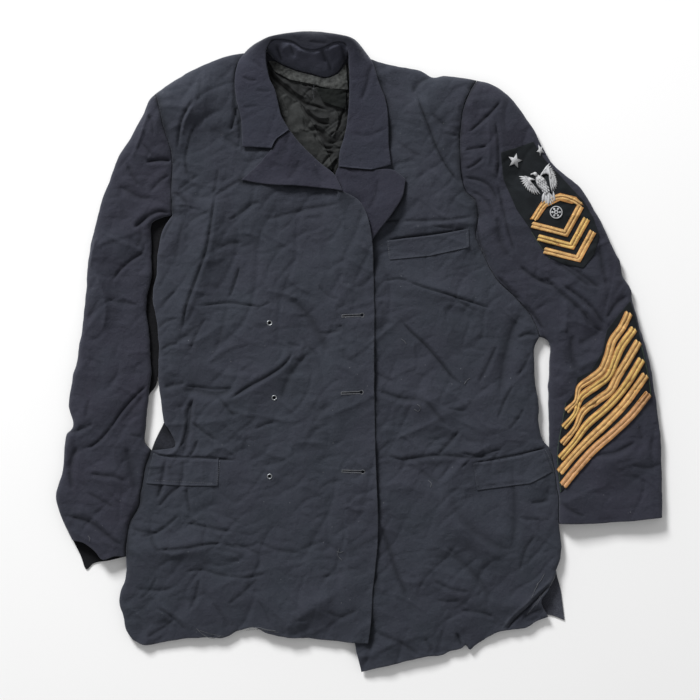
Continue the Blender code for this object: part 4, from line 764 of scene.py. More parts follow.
@dataclass
class Drape:
    """How the cloth lies: the height of every panel's underside and face, in millimetres."""

    cloth: float = 2.4
    gap: float = 0.3
    clear: float = 0.2
    rim: float = 2.0
    rim_reach: float = 12.0
    roll: float = 16.0
    loft: float = 7.5
    sleeve_loft: float = 9.5
    least_share: float = 0.55
    crease_gain: float = 1.3
    seam_depth: float = 3.6
    seam_reach: float = 5.0
    flare: float = 3.2
    flare_reach: float = 14.0
    crumples: tuple[tuple[float, float], ...] = ((74.0, 3.2), (29.0, 1.5), (11.0, 0.4))
    wrinkles: tuple[tuple[float, float, float], ...] = (
        (60.0, 20.0, 2.5), (52.0, 75.0, -2.5), (30.0, -35.0, 1.7), (26.0, 50.0, -1.8), (15.0, 10.0, -1.1),
        (12.0, -60.0, 0.8))
    stiff: float = 0.4
    sleeve_ease: float = 60.0
    hem_reach: float = 50.0
    hem_share: float = 0.5
    edge_reach: float = 24.0
    collar_seat: float = 0.6
    fold_reach: float = 5.0
    tuck: float = 2.7
    welt_recess: float = 0.9
    edge_step: float = 5.0
    closed_edges: Rails = field(init=False)
    armholes: Rails = field(init=False)
    opening: Rails = field(init=False)
    neck: Rails = field(init=False)
    loops: dict[str, Points] = field(init=False)
    bodies: list[Points] = field(init=False)
    creases: dict[str, list[Crease]] = field(init=False)

    def __post_init__(self) -> None:
        """Draw the outlines and the creases that heights are measured from."""
        self.closed_edges = Rails([self.line(name) for name in CLOSED_EDGES])
        self.armholes = Rails([self.line("right_armhole"), self.line("left_armhole")])
        self.opening = Rails([self.line("right_opening")])
        self.neck = Rails([closed(np.array(SHAPES["neck_lining"], float))])
        self.loops = {name: outline(name, self.edge_step) for name in PANELS}
        self.bodies = [inset(self.loops[name], -1.0) for name in BODIES]
        self.creases = {name: [Crease.from_plan(*row) for row in rows] for name, rows in CREASES.items()}

    def line(self, name: str) -> Points:
        """One edge, as coarse points."""
        return edge(name, self.edge_step)

    def to_closed_edge(self, points: Points) -> Heights:
        """Distance to the nearest closed edge."""
        return self.closed_edges.distance(points)

    def rim_rise(self, points: Points) -> Heights:
        """How far the lower panels turn up at the closed edges."""
        return self.rim * (1.0 - smoothstep(self.to_closed_edge(points) / self.rim_reach))

    def mounds(self, points: Points, rows: Sequence) -> Heights:
        """Sum of soft mounds at each point."""
        return sum(rise * np.exp(-((points[:, 0] - x) / wide) ** 2 - ((points[:, 1] - y) / deep) ** 2)
                   for x, y, wide, deep, rise in rows)

    def folds(self, points: Points) -> Heights:
        """Sum of the largest folds.

        Args:
            points: places on the cloth.

        Returns:
            Their height at each.
        """
        total = np.zeros(len(points))
        for x0, y0, x1, y1, x2, y2, width, rise in FOLDS:
            t = np.linspace(0.0, 1.0, 9)[:, None]
            start, middle, end = (np.array(p, float) for p in ((x0, y0), (x1, y1), (x2, y2)))
            control = 2 * middle - (start + end) / 2
            crest = (1 - t) ** 2 * start + 2 * t * (1 - t) * control + t * t * end
            near = np.all(np.abs(points - middle) < np.abs(end - start).max() / 2 + 4 * width, axis=1)
            far, along, _ = nearest(points[near], crest)
            taper = np.sin(math.pi * np.clip(0.12 + 0.76 * along, 0.0, 1.0))
            total[near] += max(rise, self.least_share * rise) * taper * np.exp(-(far / width) ** 2)
        return total

    def single(self, points: Points, extra: Heights | float = 0.0) -> Heights:
        """Underside of the uppermost single layer of cloth.

        Args:
            points: places on the cloth.
            extra: height of the panel's own creases there.

        Returns:
            Its height at each point, before anything under it lifts it.
        """
        on = np.any([inside(points, loop) for loop in self.bodies], axis=0)
        far = np.where(on, self.to_closed_edge(points), 0.0)
        roll = rounded(far / self.roll)
        hem = np.min([distance(points, self.line(name)) for name in HEMS], axis=0)
        loft = self.loft * (self.hem_share + (1.0 - self.hem_share) * smoothstep(hem / self.hem_reach))
        for sleeve, armhole in ((1, "right_armhole"), (2, "left_armhole")):
            down = np.where(inside(points, self.bodies[sleeve]), distance(points, self.line(armhole)), 0.0)
            loft = loft + (self.sleeve_loft - self.loft) * smoothstep(down / self.sleeve_ease)
        seam = self.armholes.distance(points) / self.seam_reach
        pucker = 0.9 + 0.8 * crumple(points, 30.0, 6.1) + 0.5 * crumple(points, 9.0, 9.4)
        relief = self.mounds(points, MOUNDS) + self.folds(points) + extra
        relief = relief - self.seam_depth * pucker * np.exp(-seam ** 1.4)
        floor = self.cloth + self.gap + self.rim * (1.0 - smoothstep(far / self.rim_reach))
        rise = loft + relief
        return floor + 0.5 * (rise + np.sqrt(rise ** 2 + 1.2)) * roll

    def unevenness(self, name: str, points: Points) -> Heights:
        """A panel's creases and the crumples between them."""
        phase = 3.7 * sorted(PANELS).index(name)
        rise = np.zeros(len(points))
        for index, (size, amount) in enumerate(self.crumples):
            rise += amount * crumple(points, size, phase + 11.0 * index)
        for index, (size, turn, amount) in enumerate(self.wrinkles):
            rise += amount * wrinkle(points, size, turn, phase + 5.0 * index)
        if "lapel" in name or "collar" in name:
            rise *= self.stiff
        return rise + self.crease_gain * self.creased(name, points) - self.recess(name, points)

    def recess(self, name: str, points: Points) -> Heights:
        """How far a front sinks under the pocket welts."""
        sunk = np.zeros(len(points))
        for welt, panel in WELTS.items():
            if panel == name:
                loop = np.array(SHAPES[welt], float)
                on = inside(points, loop)
                sunk[on] = self.welt_recess * smoothstep(distance(points[on], closed(loop)) / 2.5)
        return sunk

    def creased(self, name: str, points: Points) -> Heights:
        """Sum of a panel's creases."""
        return sum((crease.rise(points) for crease in self.creases.get(name, [])), np.zeros(len(points)))

    def lining(self, points: Points) -> Heights:
        """Underside of the crinkled lining in the neck."""
        rise = 1.6 * crumple(points, 24.0, 41.0) + 1.1 * crumple(points, 10.0, 47.0)
        rise += 2.8 * wrinkle(points, 17.0, -40.0, 43.0) - 2.2 * wrinkle(points, 13.0, 35.0, 44.0)
        rise += 3.4 + 1.7 * self.creased("neck_lining", points)
        free = smoothstep(self.neck.distance(points) / 13.0)
        return 2.6 + free * 0.5 * (rise + np.sqrt(rise ** 2 + 0.5))

    def over(self, points: Points, name: str, amount: float) -> Heights:
        """Lift of cloth that drapes over the edge of a panel below it."""
        loop = self.loops[name]
        far = np.where(inside(points, loop), 0.0, distance(points, closed(loop)))
        return amount * (1.0 - smoothstep(far / self.edge_reach))

    def collar(self, points: Points) -> Heights:
        """Underside of the collar's fall.

        Args:
            points: places on the collar.

        Returns:
            Its height at each, from the fold down to the fronts or to the surface behind.
        """
        fold = np.vstack([self.line("left_fold"), self.line("back_fold"), self.line("right_fold")])
        to_fold, to_edge = distance(points, fold), distance(points, self.line("collar_outer"))
        share = to_fold / np.maximum(to_fold + to_edge, 1e-6)
        crest = np.interp(points[:, 1], *zip(*FOLD_HEIGHT))
        behind = self.behind(points)
        seat = (1.0 - behind) * (self.single(points) + self.cloth + self.gap) + behind * self.collar_seat
        return seat + np.maximum(crest - seat, 0.0) * (1.0 - share ** (1.7 + 4.0 * behind))

    def behind(self, points: Points) -> Heights:
        """0 along the sides of the collar, and 1 at the back of the neck."""
        return smoothstep((points[:, 1] - COLLAR_BACK[0]) / (COLLAR_BACK[1] - COLLAR_BACK[0]))

    def from_fold(self, points: Points) -> Heights:
        """0 on the fold at the back of the neck, and 1 away from it."""
        return smoothstep(distance(points, self.line("back_fold")) / self.fold_reach)

    def painted_edge_shade(self, name: str, points: Points) -> Heights:
        """Painted shade of a panel along its seams and under the edges that lie on it, from 0 to 1."""
        lines = SHADED.get(name)
        if not lines:
            return np.zeros(len(points))
        far = np.min([distance(points, self.line(line)) for line in lines], axis=0)
        far = far / PAINTED_SHADE_REACH.get(name, 1.0)
        uneven = np.clip(0.95 + 0.9 * crumple(points, 26.0, 81.0), 0.35, 1.3)
        return np.clip(uneven * np.exp(-(far / (2.4 * uneven)) ** 1.4), 0.0, 1.0)

    def rubbed_and_painted_light(self, name: str, points: Points) -> Heights:
        """How much lighter a panel is about the left vent, from 0 up: rubbed wear on the left front, and
        painted light on the back, lifting the shadow that the left front casts on it.
        """
        line, reach = RUBBED_AND_PAINTED_LIGHT[name]
        far = distance(points, plan(line)) / reach
        patch = np.clip(1.0 + 1.3 * crumple(points, 7.0, 91.0), 0.2, 1.3)
        return np.clip(1.2 * patch * np.exp(-far ** 2), 0.0, 1.2)

    def stand(self, points: Points) -> Heights:
        """Underside of the collar's stand, from the neck seam up to the fold."""
        to_fold, to_seam = distance(points, self.line("back_fold")), distance(points, self.line("neck_seam"))
        share = to_seam / np.maximum(to_fold + to_seam, 1e-6)
        floor = self.cloth + self.gap
        return floor + (np.interp(points[:, 1], *zip(*FOLD_HEIGHT)) - floor) * share ** 0.8

    def low(self, name: str, points: Points) -> Heights:
        """Underside of a panel.

        Args:
            name: the panel.
            points: places on it.

        Returns:
            Its height at each, clear of the panels under it.
        """
        if name in ("back", "right_sleeve_under", "left_sleeve_under"):
            return self.rim_rise(points) + 0.45 * (1.0 + self.quiet(name, points))
        if name == "collar_stand":
            free = self.from_fold(points)
            uneven = 1.6 * crumple(points, 12.0, 71.0) + self.creased(name, points)
            tucked = self.tuck * (1.0 - free)
            return np.maximum(self.stand(points) + free * uneven - tucked, self.cloth + self.gap)
        if name == "neck_lining":
            return self.lining(points)
        own = self.unevenness(name, points)
        if name in ("left_sleeve_top", "right_sleeve_top", "left_front"):
            return self.single(points, own)
        if name == "collar_fall":
            height = self.collar(points) + own * self.from_fold(points)
            under = ["left_front", "right_front", "left_lapel", "right_lapel"]
            keep = 1.0 - self.behind(points)
        else:
            layer = self.cloth + self.gap
            height = self.single(points, own)
            under = ["left_front"] if name == "left_lapel" else ["left_front", "left_lapel"]
            if name != "left_lapel":
                for lower in under:
                    height = height + self.over(points, lower, layer)
            if name == "right_front":
                lift = 0.6 + crumple(points * (0.3, 1.0), 30.0, 15.5)
                fade = np.exp(-self.opening.distance(points) / self.flare_reach)
                height = height + self.flare * lift * fade
            if "lapel" in name:
                height = height + layer + self.mounds(points, LAPEL_MOUNDS)
            if name == "right_lapel":
                under = ["right_front"]
            keep = np.ones(len(points))
        for lower in under:
            on = inside(points, inset(self.loops[lower], -1.0))
            if on.any():
                floor = self.low(lower, points[on]) + self.cloth + self.clear
                height[on] = np.maximum(height[on], floor * keep[on])
        return height

    def quiet(self, name: str, points: Points) -> Heights:
        """Low wrinkles of a panel that lies on the surface, from -1 to 1."""
        phase = 5.3 * sorted(PANELS).index(name)
        rise = 1.6 * crumple(points, 46.0, phase) + 0.8 * crumple(points, 17.0, phase + 7.0)
        return np.clip(rise, -1.0, 1.0)

    def face(self, name: str, points: Points) -> Heights:
        """Upper face of a panel."""
        return self.low(name, points) + self.cloth


DRAPE = Drape()


def plug(tree: bpy.types.NodeTree, socket: bpy.types.NodeSocket, value: object) -> None:
    """Give a socket a value or a link."""
    if isinstance(value, Signal):
        value = value.socket
    if isinstance(value, bpy.types.NodeSocket):
        tree.links.new(value, socket)
    elif socket.type == "RGBA":
        socket.default_value = (*value, 1.0)
    else:
        socket.default_value = value


def add_node(tree: bpy.types.NodeTree, kind: str, settings: dict | None = None,
             inputs: dict | None = None) -> bpy.types.Node:
    """Add a node.

    Args:
        tree: the node tree.
        kind: the node's type.
        settings: its properties, set first.
        inputs: the value or link of each socket, by name or number.

    Returns:
        The node.
    """
    made = tree.nodes.new(kind)
    for key, value in (settings or {}).items():
        setattr(made, key, value)
    for key, value in (inputs or {}).items():
        plug(tree, made.inputs[key], value)
    return made


class Signal:
    """A number socket of a node tree that can be reckoned with."""

    def __init__(self, tree: bpy.types.NodeTree, socket: bpy.types.NodeSocket) -> None:
        """Wrap one output socket."""
        self.tree, self.socket = tree, socket

    def reckon(self, operation: str, *terms: "Signal | float") -> "Signal":
        """The result of a Math node with these inputs."""
        node = add_node(self.tree, "ShaderNodeMath", {"operation": operation}, dict(enumerate(terms)))
        return Signal(self.tree, node.outputs[0])

    def __add__(self, other: "Signal | float") -> "Signal":
        """Sum."""
        return self.reckon("ADD", self, other)

    def __sub__(self, other: "Signal | float") -> "Signal":
        """Difference."""
        return self.reckon("SUBTRACT", self, other)

    def __rsub__(self, other: float) -> "Signal":
        """Difference, the other way round."""
        return self.reckon("SUBTRACT", other, self)

    def __mul__(self, other: "Signal | float") -> "Signal":
        """Product."""
        return self.reckon("MULTIPLY", self, other)

    def wave(self, pitch: float) -> "Signal":
        """Wave from 0 to 1, `pitch` millimetres long."""
        return (self.reckon("SINE", self * (math.tau / (pitch * MM))) + 1.0) * 0.5

    def size(self) -> "Signal":
        """The number without its sign."""
        return self.reckon("ABSOLUTE", self)

    def between(self, low: float, high: float) -> "Signal":
        """Ease from 0 to 1 as the number goes from `low` to `high`."""
        share = self.reckon("MULTIPLY", self - low, 1.0 / (high - low))
        share.socket.node.use_clamp = True
        return share


class Board:
    """The node tree of one material."""

    def __init__(self, name: str) -> None:
        """Start a material with its shader."""
        self.material = bpy.data.materials.new(name)
        self.material.use_nodes = True
        self.tree = self.material.node_tree
        self.shader = self.tree.nodes["Principled BSDF"]
        self.node = partial(add_node, self.tree)

    def place(self) -> bpy.types.NodeSocket:
        """Object coordinates, in metres."""
        return self.node("ShaderNodeTexCoord").outputs["Object"]

    def grain(self) -> tuple[Signal, Signal, bpy.types.NodeSocket]:
        """The cloth's own two directions, in metres, and both as a vector."""
        uv = self.node("ShaderNodeUVMap", {"uv_map": "grain"}).outputs["UV"]
        parts = self.node("ShaderNodeSeparateXYZ", inputs={"Vector": uv})
        return Signal(self.tree, parts.outputs["X"]), Signal(self.tree, parts.outputs["Y"]), uv

    def mottle(self, at: bpy.types.NodeSocket, size: float, detail: float = 2.0,
               rough: float = 0.5) -> Signal:
        """Noise from 0 to 1 with features about `size` millimetres across."""
        made = self.node("ShaderNodeTexNoise", inputs={
            "Vector": at, "Scale": 1.0 / (size * MM), "Detail": detail, "Roughness": rough})
        return Signal(self.tree, made.outputs["Fac"])

    def specks(self, at: bpy.types.NodeSocket, pitch: float, radius: float) -> Signal:
        """Scattered dots: 1 in each and 0 between, at most one in every cell of `pitch` millimetres."""
        made = self.node("ShaderNodeTexVoronoi", {"feature": "F1"}, {
            "Vector": at, "Scale": 1.0 / (pitch * MM), "Randomness": 1.0})
        spot = 1.0 - Signal(self.tree, made.outputs["Distance"]).between(0.4 * radius / pitch, radius / pitch)
        chance = self.node("ShaderNodeSeparateColor", inputs={"Color": made.outputs["Color"]})
        return spot * Signal(self.tree, chance.outputs["Red"]).between(0.55, 0.95)

    def attribute(self, name: str) -> Signal:
        """A number that the piece's mesh carries."""
        return Signal(self.tree, self.node("ShaderNodeAttribute", {"attribute_name": name}).outputs["Fac"])

    def mix(self, share: Signal, first: object, second: object) -> bpy.types.NodeSocket:
        """Mix two colours by a share of the second."""
        made = self.node("ShaderNodeMix", {"data_type": "RGBA", "clamp_factor": True},
                         {0: share, 6: first, 7: second})
        return made.outputs[2]

    def bump(self, height: Signal, depth: float, strength: float = 1.0) -> None:
        """Raise the surface by a height from 0 to 1, times `depth` millimetres."""
        made = self.node("ShaderNodeBump", inputs={
            "Height": height, "Distance": depth * MM, "Strength": strength})
        self.tree.links.new(made.outputs["Normal"], self.shader.inputs["Normal"])

    def finish(self, colour: object, roughness: object, **fixed: object) -> bpy.types.Material:
        """Plug the colour and the roughness, and set the shader's fixed values.

        Args:
            colour: the base colour or its socket.
            roughness: the roughness or its socket.
            fixed: values of other sockets, with underscores for spaces.

        Returns:
            The material.
        """
        values = {key.replace("_", " ").title().replace("Ior", "IOR"): value for key, value in fixed.items()}
        for key, value in {"Base Color": colour, "Roughness": roughness, **values}.items():
            plug(self.tree, self.shader.inputs[key], value)
        return self.material


@dataclass(frozen=True)
class Serge:
    """Navy wool serge: a fine twill with a faint nap, uneven dye, specks of lint, and painted shade in
    creases and along shaded edges.

    The last field is how much painted shade darkens it towards the back of the neck, and from where to where
    in metres.
    """

    name: str = "navy_serge"
    cool: Colour = (0.0246, 0.0293, 0.0402)
    warm: Colour = (0.0256, 0.0276, 0.0402)
    wear_and_painted_light: Colour = (0.0430, 0.0470, 0.0600)
    wale: float = 0.9
    lint: float = 0.5
    painted_neck_shade: tuple[float, float, float] = (0.0, 1.0, 2.0)

    def make(self) -> bpy.types.Material:
        """Build the material."""
        board = Board(self.name)
        u, v, uv = board.grain()
        place = board.place()
        twill, thread = (u + v).wave(self.wale), u.wave(0.45 * self.wale)
        nap = board.mottle(uv, 1.6, 3.0, 0.7)
        dye = board.mottle(place, 60.0, 3.0, 0.6)
        fine = board.mottle(place, 5.0, 3.0, 0.6)
        tint = board.mix(dye.between(0.35, 0.65), self.cool, self.warm)
        shade = board.mix(fine.between(0.3, 0.75) * 0.3 + nap.between(0.35, 0.7) * 0.4, tint, self.wear_and_painted_light)
        # A lighter tone at the cut edges as wear; on the back at the left vent the same mark is painted light
        # that lifts the left front's shadow
        edge_wear_and_painted_light = board.attribute("rim") * nap.between(0.3, 0.6) * 0.8
        wear_and_painted_light = board.mix(edge_wear_and_painted_light, shade, self.wear_and_painted_light)
        # Painted shade: crease bottoms, shaded seams and edges, and the back of the neck darken towards this
        # colour
        dark = tuple(0.3 * value for value in self.cool)
        wear_and_painted_light = board.mix(board.attribute("hollow") * 0.75, wear_and_painted_light, dark)
        # Painted shade towards the back of the neck
        parts = board.node("ShaderNodeSeparateXYZ", inputs={"Vector": place})
        behind = Signal(board.tree, parts.outputs["Y"]).between(*self.painted_neck_shade[1:])
        wear_and_painted_light = board.mix(behind * self.painted_neck_shade[0], wear_and_painted_light, dark)
        dots = board.specks(place, 11.0, 0.7) * self.lint
        speckled = board.mix(dots, wear_and_painted_light, (0.30, 0.31, 0.32))
        weave = twill * 0.45 + thread * 0.15 + nap * 0.4
        crush = 1.0 - (board.mottle(place, 11.0, 3.0, 0.6) - 0.5).size() * 5.0
        small = 1.0 - (board.mottle(uv, 4.5, 2.0, 0.6) - 0.5).size() * 4.0
        board.bump(weave * 0.3 + crush * 0.55 + small * 0.3, 0.7, 0.9)
        return board.finish(speckled, nap * 0.12 + 0.82, sheen_weight=0.15, sheen_roughness=0.45,
                            sheen_tint=(0.8, 0.85, 1.0), specular_ior_level=0.2)


@dataclass(frozen=True)
class Satin:
    """Crinkled charcoal body lining with a soft gloss and painted shade in its creases."""

    name: str = "charcoal_lining"
    dark: Colour = (0.0050, 0.0056, 0.0060)
    light: Colour = (0.0175, 0.0190, 0.0195)
    gloss: float = 0.65

    def make(self) -> bpy.types.Material:
        """Build the material."""
        board = Board(self.name)
        _, v, _ = board.grain()
        place = board.place()
        crinkle = board.mottle(place, 4.0, 4.0, 0.65)
        broad = board.mottle(place, 16.0, 2.0, 0.5)
        rib = v.wave(0.7)
        colour = board.mix((crinkle * 0.6 + broad * 0.4).between(0.35, 0.65), self.dark, self.light)
        # Painted shade: the bottoms of the creases darken towards this colour
        deep = tuple(0.2 * value for value in self.dark)
        colour = board.mix(board.attribute("hollow") * 0.85, colour, deep)
        board.bump(crinkle * 0.9 + rib * 0.1, 1.0, 0.7)
        return board.finish(colour, crinkle * 0.2 + self.gloss, sheen_weight=0.05, specular_ior_level=0.25)


@dataclass(frozen=True)
class Felt:
    """Plain dense cloth: badge grounds and the label."""

    name: str
    dark: Colour
    light: Colour
    pile: float = 1.2
    depth: float = 0.3

    def make(self) -> bpy.types.Material:
        """Build the material."""
        board = Board(self.name)
        place = board.place()
        pile = board.mottle(place, self.pile, 3.0, 0.7)
        patch = board.mottle(place, 20.0, 2.0, 0.5)
        colour = board.mix((pile * 0.6 + patch * 0.5).between(0.3, 0.8), self.dark, self.light)
        board.bump(pile, self.depth, 0.8)
        return board.finish(colour, pile * 0.1 + 0.85, sheen_weight=0.05, specular_ior_level=0.15)


@dataclass(frozen=True)
class Thread:
    """Embroidery thread, with a lengthwise twist and a dirtier tone in its hollows."""

    name: str
    bright: Colour
    dull: Colour
    roughness: float = 0.45
    metal: float = 0.25

    def make(self) -> bpy.types.Material:
        """Build the material."""
        board = Board(self.name)
        place = board.place()
        tarnish = board.mottle(place, 7.0, 3.0, 0.6)
        strand = board.mottle(place, 0.8, 3.0, 0.7)
        colour = board.mix((tarnish * 0.55 + strand * 0.45).between(0.32, 0.68), self.dull, self.bright)
        board.bump(strand, 0.25, 0.9)
        return board.finish(colour, strand * 0.25 + self.roughness, metallic=self.metal,
                            specular_ior_level=0.5)


@dataclass(frozen=True)
class Metal:
    """Dull silvery metal of the eyelets."""

    name: str = "eyelet_metal"
    bright: Colour = (0.52, 0.54, 0.56)
    dull: Colour = (0.20, 0.21, 0.22)

    def make(self) -> bpy.types.Material:
        """Build the material."""
        board = Board(self.name)
        place = board.place()
        wear = board.mottle(place, 1.4, 3.0, 0.6)
        colour = board.mix(wear.between(0.35, 0.65), self.dull, self.bright)
        board.bump(wear, 0.08, 0.6)
        return board.finish(colour, wear * 0.3 + 0.25, metallic=0.85)


@dataclass(frozen=True)
class Floor:
    """Plain pale floor."""

    name: str = "pale_floor"
    pale: Colour = (0.93, 0.93, 0.93)
    paler: Colour = (0.96, 0.96, 0.96)

    def make(self) -> bpy.types.Material:
        """Build the material."""
        board = Board(self.name)
        tone = board.mottle(board.place(), 400.0, 2.0, 0.5)
        return board.finish(board.mix(tone, self.pale, self.paler), 0.9)


class Finishes:
    """Every finish of the jacket, each made once."""

    RECIPES = {
        "serge": Serge(),
        # The collar's serge, with painted shade towards the back of the neck
        "collar": Serge("collar_serge_painted_shade", (0.0212, 0.0240, 0.0365), (0.0228, 0.0230, 0.0370),
                        (0.0360, 0.0385, 0.0530), lint=0.25, painted_neck_shade=(0.75, 0.375, 0.402)),
        "lapel": Serge("lapel_serge", (0.0180, 0.0192, 0.0310), (0.0195, 0.0188, 0.0315),
                       (0.0320, 0.0330, 0.0460), lint=0.35),
        # A darker copy of the serge: painted shade on the back where it shows beside the fronts; its light
        # third colour is painted light at the left vent
        "back": Serge("back_serge_painted_shade_and_light", (0.0125, 0.0138, 0.0205), (0.0138, 0.0132, 0.0212),
                      (0.0660, 0.0705, 0.0880), lint=0.2),
        # A darker copy of the serge: painted shade on the under sleeve in the deep underarm gap and at the
        # cuff
        "under": Serge("under_serge_painted_shade", (0.0042, 0.0045, 0.0062), (0.0047, 0.0045, 0.0065),
                       (0.0080, 0.0086, 0.0110), lint=0.0),
        # A lighter copy of the serge: painted light on the stand's steep inner face, which the lamp leaves in
        # shade
        "stand": Serge("stand_serge_painted_light", (0.0380, 0.0425, 0.0600), (0.0400, 0.0410, 0.0610),
                       (0.0540, 0.0580, 0.0760), lint=0.0),
        "sleeve": Serge("sleeve_serge", (0.0215, 0.0238, 0.0350), (0.0235, 0.0228, 0.0360),
                        (0.0385, 0.0405, 0.0540)),
        "lining": Satin(),
        "facing": Satin("front_lining_satin", (0.0115, 0.0125, 0.0125), (0.0270, 0.0290, 0.0290), 0.65),
        "tape": Satin("neck_tape", (0.0060, 0.0066, 0.0066), (0.0620, 0.0650, 0.0630), 0.8),
        "label": Felt("label_cloth", (0.004, 0.005, 0.005), (0.010, 0.012, 0.011)),
        "badge": Felt("badge_cloth", (0.005, 0.006, 0.007), (0.014, 0.017, 0.020), 1.4),
        "yellow": Thread("yellow_gold_lace", (0.90, 0.64, 0.22), (0.42, 0.26, 0.075), metal=0.1),
        "peach": Thread("peach_gold_lace", (0.90, 0.60, 0.24), (0.42, 0.24, 0.09), metal=0.1),
        "braid": Thread("braid_ground", (0.56, 0.27, 0.07), (0.26, 0.11, 0.035), metal=0.1),
        "centre": Thread("lace_centre", (0.30, 0.145, 0.05), (0.10, 0.05, 0.022), 0.7, 0.0),
        "silver": Thread("silver_thread", (0.64, 0.65, 0.66), (0.20, 0.20, 0.215), 0.55, 0.1),
        "rose": Thread("rose_gold_lace", (0.80, 0.48, 0.24), (0.40, 0.21, 0.10), metal=0.1),
        "green": Thread("green_thread", (0.10, 0.16, 0.09), (0.03, 0.05, 0.03), 0.7, 0.0),
        "grey": Thread("buttonhole_twist", (0.18, 0.185, 0.20), (0.05, 0.055, 0.065), 0.7, 0.0),
        "eyelet": Metal(),
    }

    def __init__(self) -> None:
        """Start with nothing made."""
        self.made: dict[str, bpy.types.Material] = {}

    def get(self, name: str) -> bpy.types.Material:
        """The material of a finish."""
        if name not in self.made:
            self.made[name] = self.RECIPES[name].make()
        return self.made[name]


FINISHES = Finishes()


@dataclass
class Shell:
    """A cut piece of cloth: a closed shell between its underside and its face, with rounded edges."""

    name: str
    loop: Points
    thickness: float
    low: Callable[[Points], Heights]
    step: float = 2.3
    turn: float = 0.0
    creases: Sequence[Crease] = ()
    holes: Sequence[Points] = ()
    # Painted shade along seams and under edges
    shade: Callable[[Points], Heights] | None = None
    # Lighter marks: wear, and on the back painted light at the left vent
    wear: Callable[[Points], Heights] | None = None
    broad: float = 6.0

    def to_rim(self, points: Points) -> Heights:
        """Distance to the nearest cut edge."""
        return np.min([distance(points, closed(border)) for border in (self.loop, *self.holes)], axis=0)

    def crease_rows(self, fill: Points) -> tuple[list[Points], Points]:
        """Lay rows of points along the creases that aren't broad.

        Args:
            fill: the even points inside the piece.

        Returns:
            The rows, and the even points that are left between them.
        """
        rows, laid, crests = [], None, []
        for crease in self.creases:
            near = around(fill, crease.line, self.step)
            if crease.width > self.broad or not near.any():
                continue
            crest = resample(crease.line, 0.9 * self.step)
            far = np.full(len(fill), 1e9)
            far[near] = distance(fill[near], crease.line)
            fill = fill[far > 1.25 * self.step]
            sides = [offset(crest, side * 0.7 * self.step) for side in (-1, 1)]
            row = np.vstack([crest, *[side[distance(side, crest) > 0.6 * self.step] for side in sides]])
            if laid is not None:
                row = row[laid.distance(row) > 0.6 * self.step]
            row = row[inside(row, self.loop)]
            if len(row):
                rows.append(row[self.to_rim(row) > 1.2 * self.thickness / 2 + 0.3 * self.step])
            crests.append(crest)
            laid = Rails(crests)
        return rows, fill

    def net(self) -> tuple[Points, np.ndarray]:
        """Triangulate the piece.

        Returns:
            Its points and its triangles, counterclockwise from above.
        """
        radius = self.thickness / 2
        borders = [self.loop, *self.holes]
        rows = []
        for far in (0.2 * radius, 0.6 * radius, 1.2 * radius):
            for border, sign in zip(borders, [1.0] + [-1.0] * len(self.holes)):
                row = inset(border, sign * far)
                rows.append(row[(self.to_rim(row) > 0.8 * far) & inside(row, self.loop)])
        fill = lattice(self.loop, self.step)
        creased, fill = self.crease_rows(fill[self.to_rim(fill) > 1.2 * radius + 0.45 * self.step])
        points, edges = [], []
        for border in borders:
            first = len(points)
            points += [Vector(p) for p in border]
            edges += [(first + i, first + (i + 1) % len(border)) for i in range(len(border))]
        points += [Vector(p) for p in np.vstack([*rows, *creased, fill])]
        verts, _, faces, *_ = delaunay_2d_cdt(points, edges, [], 0, 0.005)
        verts = np.array([tuple(v) for v in verts])
        faces = np.array([f for f in faces if len(f) == 3])
        a, b, c = (verts[faces[:, k]] for k in range(3))
        turn = (b[:, 0] - a[:, 0]) * (c[:, 1] - a[:, 1]) - (b[:, 1] - a[:, 1]) * (c[:, 0] - a[:, 0])
        faces = np.where((turn > 0)[:, None], faces, faces[:, ::-1])[np.abs(turn) > 1e-7]
        middles = verts[faces].mean(axis=1)
        keep = inside(middles, self.loop)
        for hole in self.holes:
            keep &= ~inside(middles, hole)
        return verts, faces[keep]

    def build(self, finish: str) -> bpy.types.Object:
        """Make the piece.

        Args:
            finish: name of its finish.

        Returns:
            Its object, with the grain, the nearness of the rim and the painted shade on its mesh.
        """
        verts, faces = self.net()
        used, faces = np.unique(faces, return_inverse=True)
        faces = faces.reshape(-1, 3)
        verts = verts[used]
        far = self.to_rim(verts)
        radius = self.thickness / 2
        half = radius * rounded(far / radius)
        middle = self.low(verts) + radius
        count = len(verts)
        inner = far > 1e-3
        under = np.where(inner, np.cumsum(inner) - 1 + count, np.arange(count))
        places = np.vstack([np.column_stack([verts, middle + half]),
                            np.column_stack([verts, middle - half])[inner]])
        triangles = np.vstack([faces, under[faces[:, ::-1]]])
        blank = np.zeros(count)
        rim = np.maximum(np.exp(-far / 2.2), self.wear(verts) if self.wear else blank)
        # Painted shade along shaded seams and edges and in the bottoms of creases, carried to the finish as a
        # mark
        shade = self.shade(verts) if self.shade else blank
        hollow = np.max([shade, *(crease.hollow(verts) for crease in self.creases)], axis=0)
        marks = {name: np.concatenate([values, values[inner]])
                 for name, values in (("rim", rim), ("hollow", hollow))}
        return solid(self.name, places, triangles, finish, self.turn, marks)


def put(name: str, data: bpy.types.ID) -> bpy.types.Object:
    """Put a new object with this data in the scene, at the origin."""
    item = bpy.data.objects.new(name, data)
    bpy.context.scene.collection.objects.link(item)
    return item


